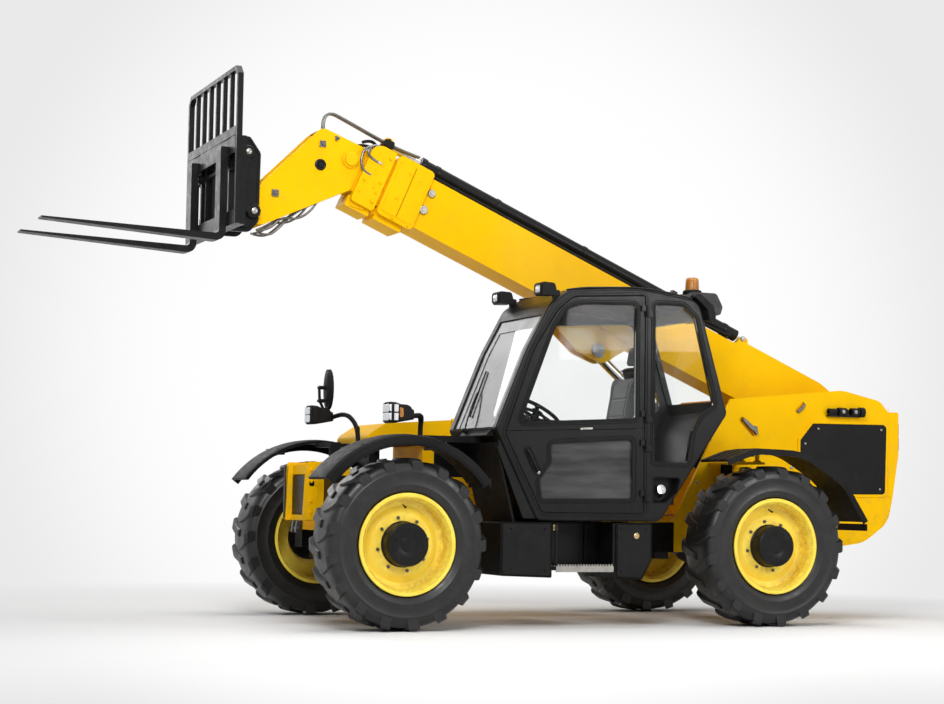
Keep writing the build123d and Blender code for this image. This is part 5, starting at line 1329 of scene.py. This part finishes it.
for s, hand in ((1, "left"), (-1, "right")):
    border = Form()
    border.gasket(panel, 24, 2, s * FRAME_SIDE, s * (FRAME_SIDE + 10))
    piece(border, f"panel_border_{hand}", "root", YELLOW, bevel=3)
    screws = Form()
    for y, z in ((4309, 1495), (4295, 1023), (3720, 1490), (3600, 1370), (3850, 1010)):
        screws.lathe(at(s * (FRAME_SIDE + 12), y, z), LEFT * s, [(9, 0), (9, 3), (6, 6), (0, 6)], 20)
    piece(screws, f"panel_screws_{hand}", "root", STEEL)
    hooks = Form()
    hooks.plate([(3020, 1560, 8), (3058, 1548, 8), (3118, 1500, 20), (3158, 1494, 14), (3168, 1438, 10),
                 (3150, 1420, 8), (3136, 1450, 10), (3098, 1470, 20), (3036, 1530, 8)],
                s * FRAME_SIDE, s * (FRAME_SIDE + 26))
    hooks.plate([(3520, 1622, 6), (3538, 1606, 6), (3580, 1640, 12), (3604, 1676, 6), (3592, 1686, 6),
                 (3560, 1652, 12)], s * FRAME_SIDE, s * (FRAME_SIDE + 20))
    piece(hooks, f"frame_hooks_{hand}", "root", STEEL_DARK, bevel=4)
    seam = Form()
    seam.plate([(4378, 1677, 2), (4384, 1677, 2), (4386, 970, 2), (4380, 970, 2)], s * FRAME_SIDE,
               s * (FRAME_SIDE + 3))
    seam.plate([(3790, 962, 1), (4420, 962, 1), (4420, 968, 1), (3790, 968, 1)], s * FRAME_SIDE,
               s * (FRAME_SIDE + 2.5))
    piece(seam, f"rear_seam_{hand}", "root", YELLOW, bevel=1)
    ring = Form()
    ring.lathe(at(s * 400, 3205, 1000), LEFT * s, [(34, 0), (34, 4), (24, 6), (20, 2), (0, 2)], 32)
    for y, z in ((2640, 1050), (2640, 900), (3480, 1180)):
        ring.nut(at(s * 400, y, z), LEFT * s, 20, 11)
    piece(ring, f"frame_bolts_{hand}", "root", STEEL, smooth=25)
tail_lamps = Form()
for s in (-1, 1):
    tail_lamps.facing([(s * 370 - 22, 1330, 10), (s * 370 + 22, 1330, 10), (s * 370 + 22, 1560, 10),
                       (s * 370 - 22, 1560, 10)], 4474, 4488)
piece(tail_lamps, "tail_lamp_bodies", "root", PLASTIC, bevel=3)
red = Form()
amber = Form()
for s in (-1, 1):
    red.facing([(s * 370 - 16, 1338, 8), (s * 370 + 16, 1338, 8), (s * 370 + 16, 1446, 8),
                (s * 370 - 16, 1446, 8)], 4486, 4494)
    amber.facing([(s * 370 - 16, 1454, 8), (s * 370 + 16, 1454, 8), (s * 370 + 16, 1552, 8),
                  (s * 370 - 16, 1552, 8)], 4486, 4494)
piece(red, "tail_lenses_red", "root", RED_LENS, bevel=2)
piece(amber, "tail_lenses_amber", "root", AMBER, bevel=2)
grille = Form()
grille.facing([(-250, 1180, 20), (250, 1180, 20), (250, 1560, 20), (-250, 1560, 20)], 4478, 4484)
piece(grille, "rear_grille_plate", "root", PLASTIC, bevel=2)
bars = Form()
for i in range(13):
    z = 1204 + i * 27
    bars.facing([(-236, z, 3), (236, z, 3), (236, z + 12, 3), (-236, z + 12, 3)], 4483, 4492)
piece(bars, "rear_grille_bars", "root", BLACK, bevel=1.5)
pin = Form()
pin.lathe(at(0, 4425, 762), UP, [(0, 0), (12, 2), (15.5, 10), (15.5, 186), (0, 186)], 28)
pin.lathe(at(0, 4425, 946), UP, [(0, 0), (24, 0), (24, 10), (10, 14), (0, 14)], 28)
piece(pin, "hitch_pin", "root", STEEL)
run("hitch_ring", "root", [at(0, 4425, 958), at(24, 4425, 968), at(24, 4425, 1004), at(0, 4425, 1016),
                           at(-24, 4425, 1004), at(-24, 4425, 968), at(0, 4425, 958)], 3.5, STEEL)

# ------------------------------------------------------------------ engine side
POD_SIDE = -1040
mesh_back = Form()
mesh_back.box(-1006, -1003, 900, 1540, 780, 1180)
piece(mesh_back, "louvre_screen", "root", RUBBER_TRIM)
louvres = Form()
for i in range(8):
    z = 800 + i * 46
    louvres.prism([at(POD_SIDE, 921, z + 17), at(POD_SIDE - 13, 925, z + 2), at(POD_SIDE - 13, 1515, z + 2),
                   at(POD_SIDE, 1519, z + 17), at(POD_SIDE, 1519, z + 22), at(POD_SIDE, 921, z + 22)],
                  UP * 0.003)
piece(louvres, "louvre_lips", "root", YELLOW, bevel=1)
hood_parts = Form()
for y in (500, 1250, 2000):
    hood_parts.box(POD_SIDE - 12, POD_SIDE, y - 26, y + 26, 1306, 1362)
    hood_parts.box(POD_SIDE - 20, POD_SIDE - 12, y - 12, y + 12, 1312, 1340)
piece(hood_parts, "hood_latches", "hood_body", RUBBER_TRIM, bevel=3)
hood_seal = Form()
hood_seal.box(POD_SIDE + 2, POD_SIDE + 12, 760, 2170, 1297, 1306)
piece(hood_seal, "hood_seal", "root", RUBBER_TRIM, bevel=1)
vents = Form()
for i in range(9):
    y = 1560 + i * 52
    vents.plate([(y, 1500.5), (y + 30, 1500.5), (y + 30, 1506, 2), (y, 1504, 2)], -900, -560)
piece(vents, "hood_vents", "hood_body", PLASTIC, bevel=1.5)
pod_trim = Form()
pod_trim.gasket([(760, 540, 20), (2020, 540, 20), (2120, 780, 40), (2120, 1275, 20), (760, 1275, 20)],
                4, -8, POD_SIDE - 3, POD_SIDE)
for y, z in ((820, 600), (1500, 600), (1960, 620), (820, 1230), (2070, 1230)):
    pod_trim.nut(at(POD_SIDE, y, z), -LEFT, 18, 9)
piece(pod_trim, "pod_trim", "root", YELLOW, bevel=1.5)


# ------------------------------------------------------------------ seat
def padded(node, name, held, seams, cap=26):
    """Cushion swollen from a node's solid: held says which points rest on something."""
    low, high = (Vector(corner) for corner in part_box(node))
    middle = (low + high) / 2
    mesh = frame["nodes"][node].data.copy()
    obj = bpy.data.objects.new(name, mesh)
    bpy.context.scene.collection.objects.link(obj)
    for vertex in mesh.vertices:
        offset = vertex.co - middle
        vertex.co = middle + Vector((offset.x * 0.955, offset.y * 0.93, offset.z * 0.97))
    remesh = obj.modifiers.new("remesh", "REMESH")
    remesh.mode = "VOXEL"
    remesh.voxel_size = 0.006
    apply_modifiers(obj)
    mesh = obj.data
    rest = [vertex.co.copy() for vertex in mesh.vertices]
    pins = obj.vertex_groups.new(name="held")
    pins.add([i for i, place in enumerate(rest) if held(place, low, high)], 1.0, "REPLACE")
    cloth = obj.modifiers.new("cloth", "CLOTH")
    cloth.settings.use_pressure = True
    cloth.settings.uniform_pressure_force = 4
    cloth.settings.effector_weights.gravity = 0
    cloth.settings.vertex_group_mass = "held"
    cloth.settings.quality = 4
    cloth.point_cache.frame_start = 1
    cloth.point_cache.frame_end = 20
    scene = bpy.context.scene
    for step in range(1, 21):
        scene.frame_set(step)
    apply_modifiers(obj)
    scene.frame_set(1)
    for vertex, before in zip(obj.data.vertices, rest):
        moved = vertex.co - before
        if moved.length > cap * MM:
            vertex.co = before + moved.normalized() * cap * MM
    smooth = obj.modifiers.new("smooth", "SUBSURF")
    smooth.levels = smooth.render_levels = 1
    apply_modifiers(obj)
    # sewn channels, cut after the swelling
    for vertex in obj.data.vertices:
        vertex.co += seams(vertex.co, low, high)
    for polygon in obj.data.polygons:
        polygon.use_smooth = True
    obj.vertex_groups.clear()
    dress(obj, CLOTH)
    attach(obj, "root")
    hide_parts(node)
    return obj


def apply_modifiers(obj):
    """Keeps the shape that the modifiers give, and drops them."""
    evaluated = obj.evaluated_get(bpy.context.evaluated_depsgraph_get())
    made = bpy.data.meshes.new_from_object(evaluated)
    obj.modifiers.clear()
    obj.data = made


def groove(distance, width=0.007):
    return math.exp(-(distance / width) ** 2)


def cushion_seams(place, low, high):
    """Two long channels and a cross one in the top of the cushion."""
    if place.z < high.z - 0.045:
        return Vector()
    middle = (low.x + high.x) / 2
    depth = sum(groove(place.x - middle - side) for side in (-0.125, 0.125))
    depth += groove(place.y - low.y - 0.13) if abs(place.x - middle) < 0.125 else 0
    return Vector((0, 0, -0.007 * min(depth, 1)))


def back_seams(place, low, high):
    """The same channels up the front of the backrest."""
    middle = (low.x + high.x) / 2
    depth = sum(groove(place.x - middle - side) for side in (-0.12, 0.12))
    if abs(place.x - middle) < 0.12:
        depth += sum(groove(place.z - low.z - rise) for rise in (0.14, 0.27, 0.40))
    lean = low.y + 0.045 + (place.z - low.z) * 0.17
    return Vector((0, 0.007 * min(depth, 1), 0)) if place.y < lean else Vector()


padded("seat_cushion", "seat_cushion_pad", lambda place, low, high: place.z < low.z + 0.012, cushion_seams)
padded("seat_back", "seat_back_pad",
       lambda place, low, high: place.y > low.y + 0.085 + (place.z - low.z) * 0.17, back_seams)


# ------------------------------------------------------------------ studio and camera
VIEW_FROM = Vector((13.586, -5.856, 0.909))
VIEW_YAW, VIEW_PITCH, VIEW_ROLL = (math.radians(angle) for angle in (22.92, 4.24, 0.84))
VIEW_LENS = 75.0
AHEAD = Vector((-math.cos(VIEW_YAW) * math.cos(VIEW_PITCH), math.sin(VIEW_YAW) * math.cos(VIEW_PITCH),
                math.sin(VIEW_PITCH)))
BACKDROP_EDGE, BACKDROP_MIDDLE = 0.82, 1.0


def halo(tree, direction):
    """Backdrop level: palest in one direction of the room and a little greyer round it."""
    aim = tree.nodes.new("ShaderNodeVectorMath")
    aim.operation = "DOT_PRODUCT"
    aim.inputs[1].default_value = AHEAD
    tree.links.new(direction, aim.inputs[0])
    level = tree.nodes.new("ShaderNodeMapRange")
    level.interpolation_type = "SMOOTHSTEP"
    for key, value in (("From Min", 0.966), ("From Max", 0.993), ("To Min", BACKDROP_EDGE),
                       ("To Max", BACKDROP_MIDDLE)):
        level.inputs[key].default_value = value
    tree.links.new(aim.outputs["Value"], level.inputs["Value"])
    return level.outputs["Result"]


def surround():
    """World: a pale backdrop to look at, and a plainer level that lights the object."""
    world = bpy.data.worlds.new("studio")
    bpy.context.scene.world = world
    world.use_nodes = True
    tree = world.node_tree
    tree.nodes.clear()
    output = tree.nodes.new("ShaderNodeOutputWorld")
    seen = tree.nodes.new("ShaderNodeBackground")
    lit = tree.nodes.new("ShaderNodeBackground")
    lit.inputs["Strength"].default_value = 0.18
    path = tree.nodes.new("ShaderNodeLightPath")
    shown = path.outputs["Is Camera Ray"]
    for kind in ("Is Glossy Ray", "Is Transmission Ray"):
        either = tree.nodes.new("ShaderNodeMath")
        either.operation = "MAXIMUM"
        tree.links.new(shown, either.inputs[0])
        tree.links.new(path.outputs[kind], either.inputs[1])
        shown = either.outputs[0]
    mix = tree.nodes.new("ShaderNodeMixShader")
    coords = tree.nodes.new("ShaderNodeTexCoord")
    tree.links.new(halo(tree, coords.outputs["Generated"]), seen.inputs["Color"])
    tree.links.new(shown, mix.inputs["Fac"])
    tree.links.new(lit.outputs[0], mix.inputs[1])
    tree.links.new(seen.outputs[0], mix.inputs[2])
    tree.links.new(mix.outputs[0], output.inputs["Surface"])


def studio():
    """Pale floor that runs into the pale surround, and soft lamps."""
    scene = bpy.context.scene
    scene.view_settings.view_transform = "Standard"
    surround()
    bpy.ops.mesh.primitive_circle_add(vertices=96, radius=400, fill_type="NGON", location=(0, 0, 0))
    floor = bpy.context.object
    floor.name = "floor"
    p = Paint("floor")
    p.set(Roughness=0.9, Specular_IOR_Level=0.1)
    p.colour(p.mix(p.ramp(p.noise(0.6, 3), 0.3, 0.7), (0.94, 0.94, 0.94), (0.92, 0.92, 0.92)))
    far = p.node("ShaderNodeVectorMath", operation="LENGTH")
    p.link(p.place, far.inputs[0])
    away = p.node("ShaderNodeVectorMath", operation="SUBTRACT")
    away.inputs[1].default_value = (VIEW_FROM.x, VIEW_FROM.y, VIEW_FROM.z)
    p.link(p.place, away.inputs[0])
    unit = p.node("ShaderNodeVectorMath", operation="NORMALIZE")
    p.link(away.outputs["Vector"], unit.inputs[0])
    glow = p.node("ShaderNodeEmission")
    p.link(halo(p.tree, unit.outputs["Vector"]), glow.inputs["Color"])
    fade = p.node("ShaderNodeMixShader")
    p.link(p.ramp(far.outputs["Value"], 2.6, 6.5), fade.inputs["Fac"])
    p.link(p.shader.outputs["BSDF"], fade.inputs[1])
    p.link(glow.outputs["Emission"], fade.inputs[2])
    p.link(fade.outputs["Shader"], p.output.inputs["Surface"])
    dress(floor, p.material)

    # columns: name, place, aim, size, power
    for name, place, aim, size, power in (
            ("key", (7.6, -4.0, 6.6), (0, 0, 1.5), 3.6, 540),
            ("top", (0.3, 0.5, 9.0), (0, 0.3, 0), 5.5, 380),
            ("rear", (6.2, 3.8, 3.4), (0.4, 1.9, 1.2), 2.0, 150),
            ("back", (-7.5, -2.5, 5.5), (0, 0, 1.5), 4.5, 160)):
        lamp = bpy.data.lights.new(name, "AREA")
        lamp.energy = power
        lamp.size = size
        holder = bpy.data.objects.new(name, lamp)
        scene.collection.objects.link(holder)
        holder.location = place
        holder.rotation_euler = (Vector(aim) - Vector(place)).to_track_quat("-Z", "Y").to_euler()


def photo_camera():
    """Low three-quarter view from the left and in front, with a long lens."""
    right = AHEAD.cross(UP).normalized()
    up = right.cross(AHEAD)
    across = math.cos(VIEW_ROLL) * right + math.sin(VIEW_ROLL) * up
    upright = math.cos(VIEW_ROLL) * up - math.sin(VIEW_ROLL) * right
    data = bpy.data.cameras.new("camera")
    data.lens = VIEW_LENS
    data.sensor_width = 36.0
    camera = bpy.data.objects.new("camera", data)
    bpy.context.scene.collection.objects.link(camera)
    turn = Matrix((across, upright, -AHEAD)).transposed().to_4x4()
    camera.matrix_world = Matrix.Translation(VIEW_FROM) @ turn
    bpy.context.scene.camera = camera


studio()
photo_camera()
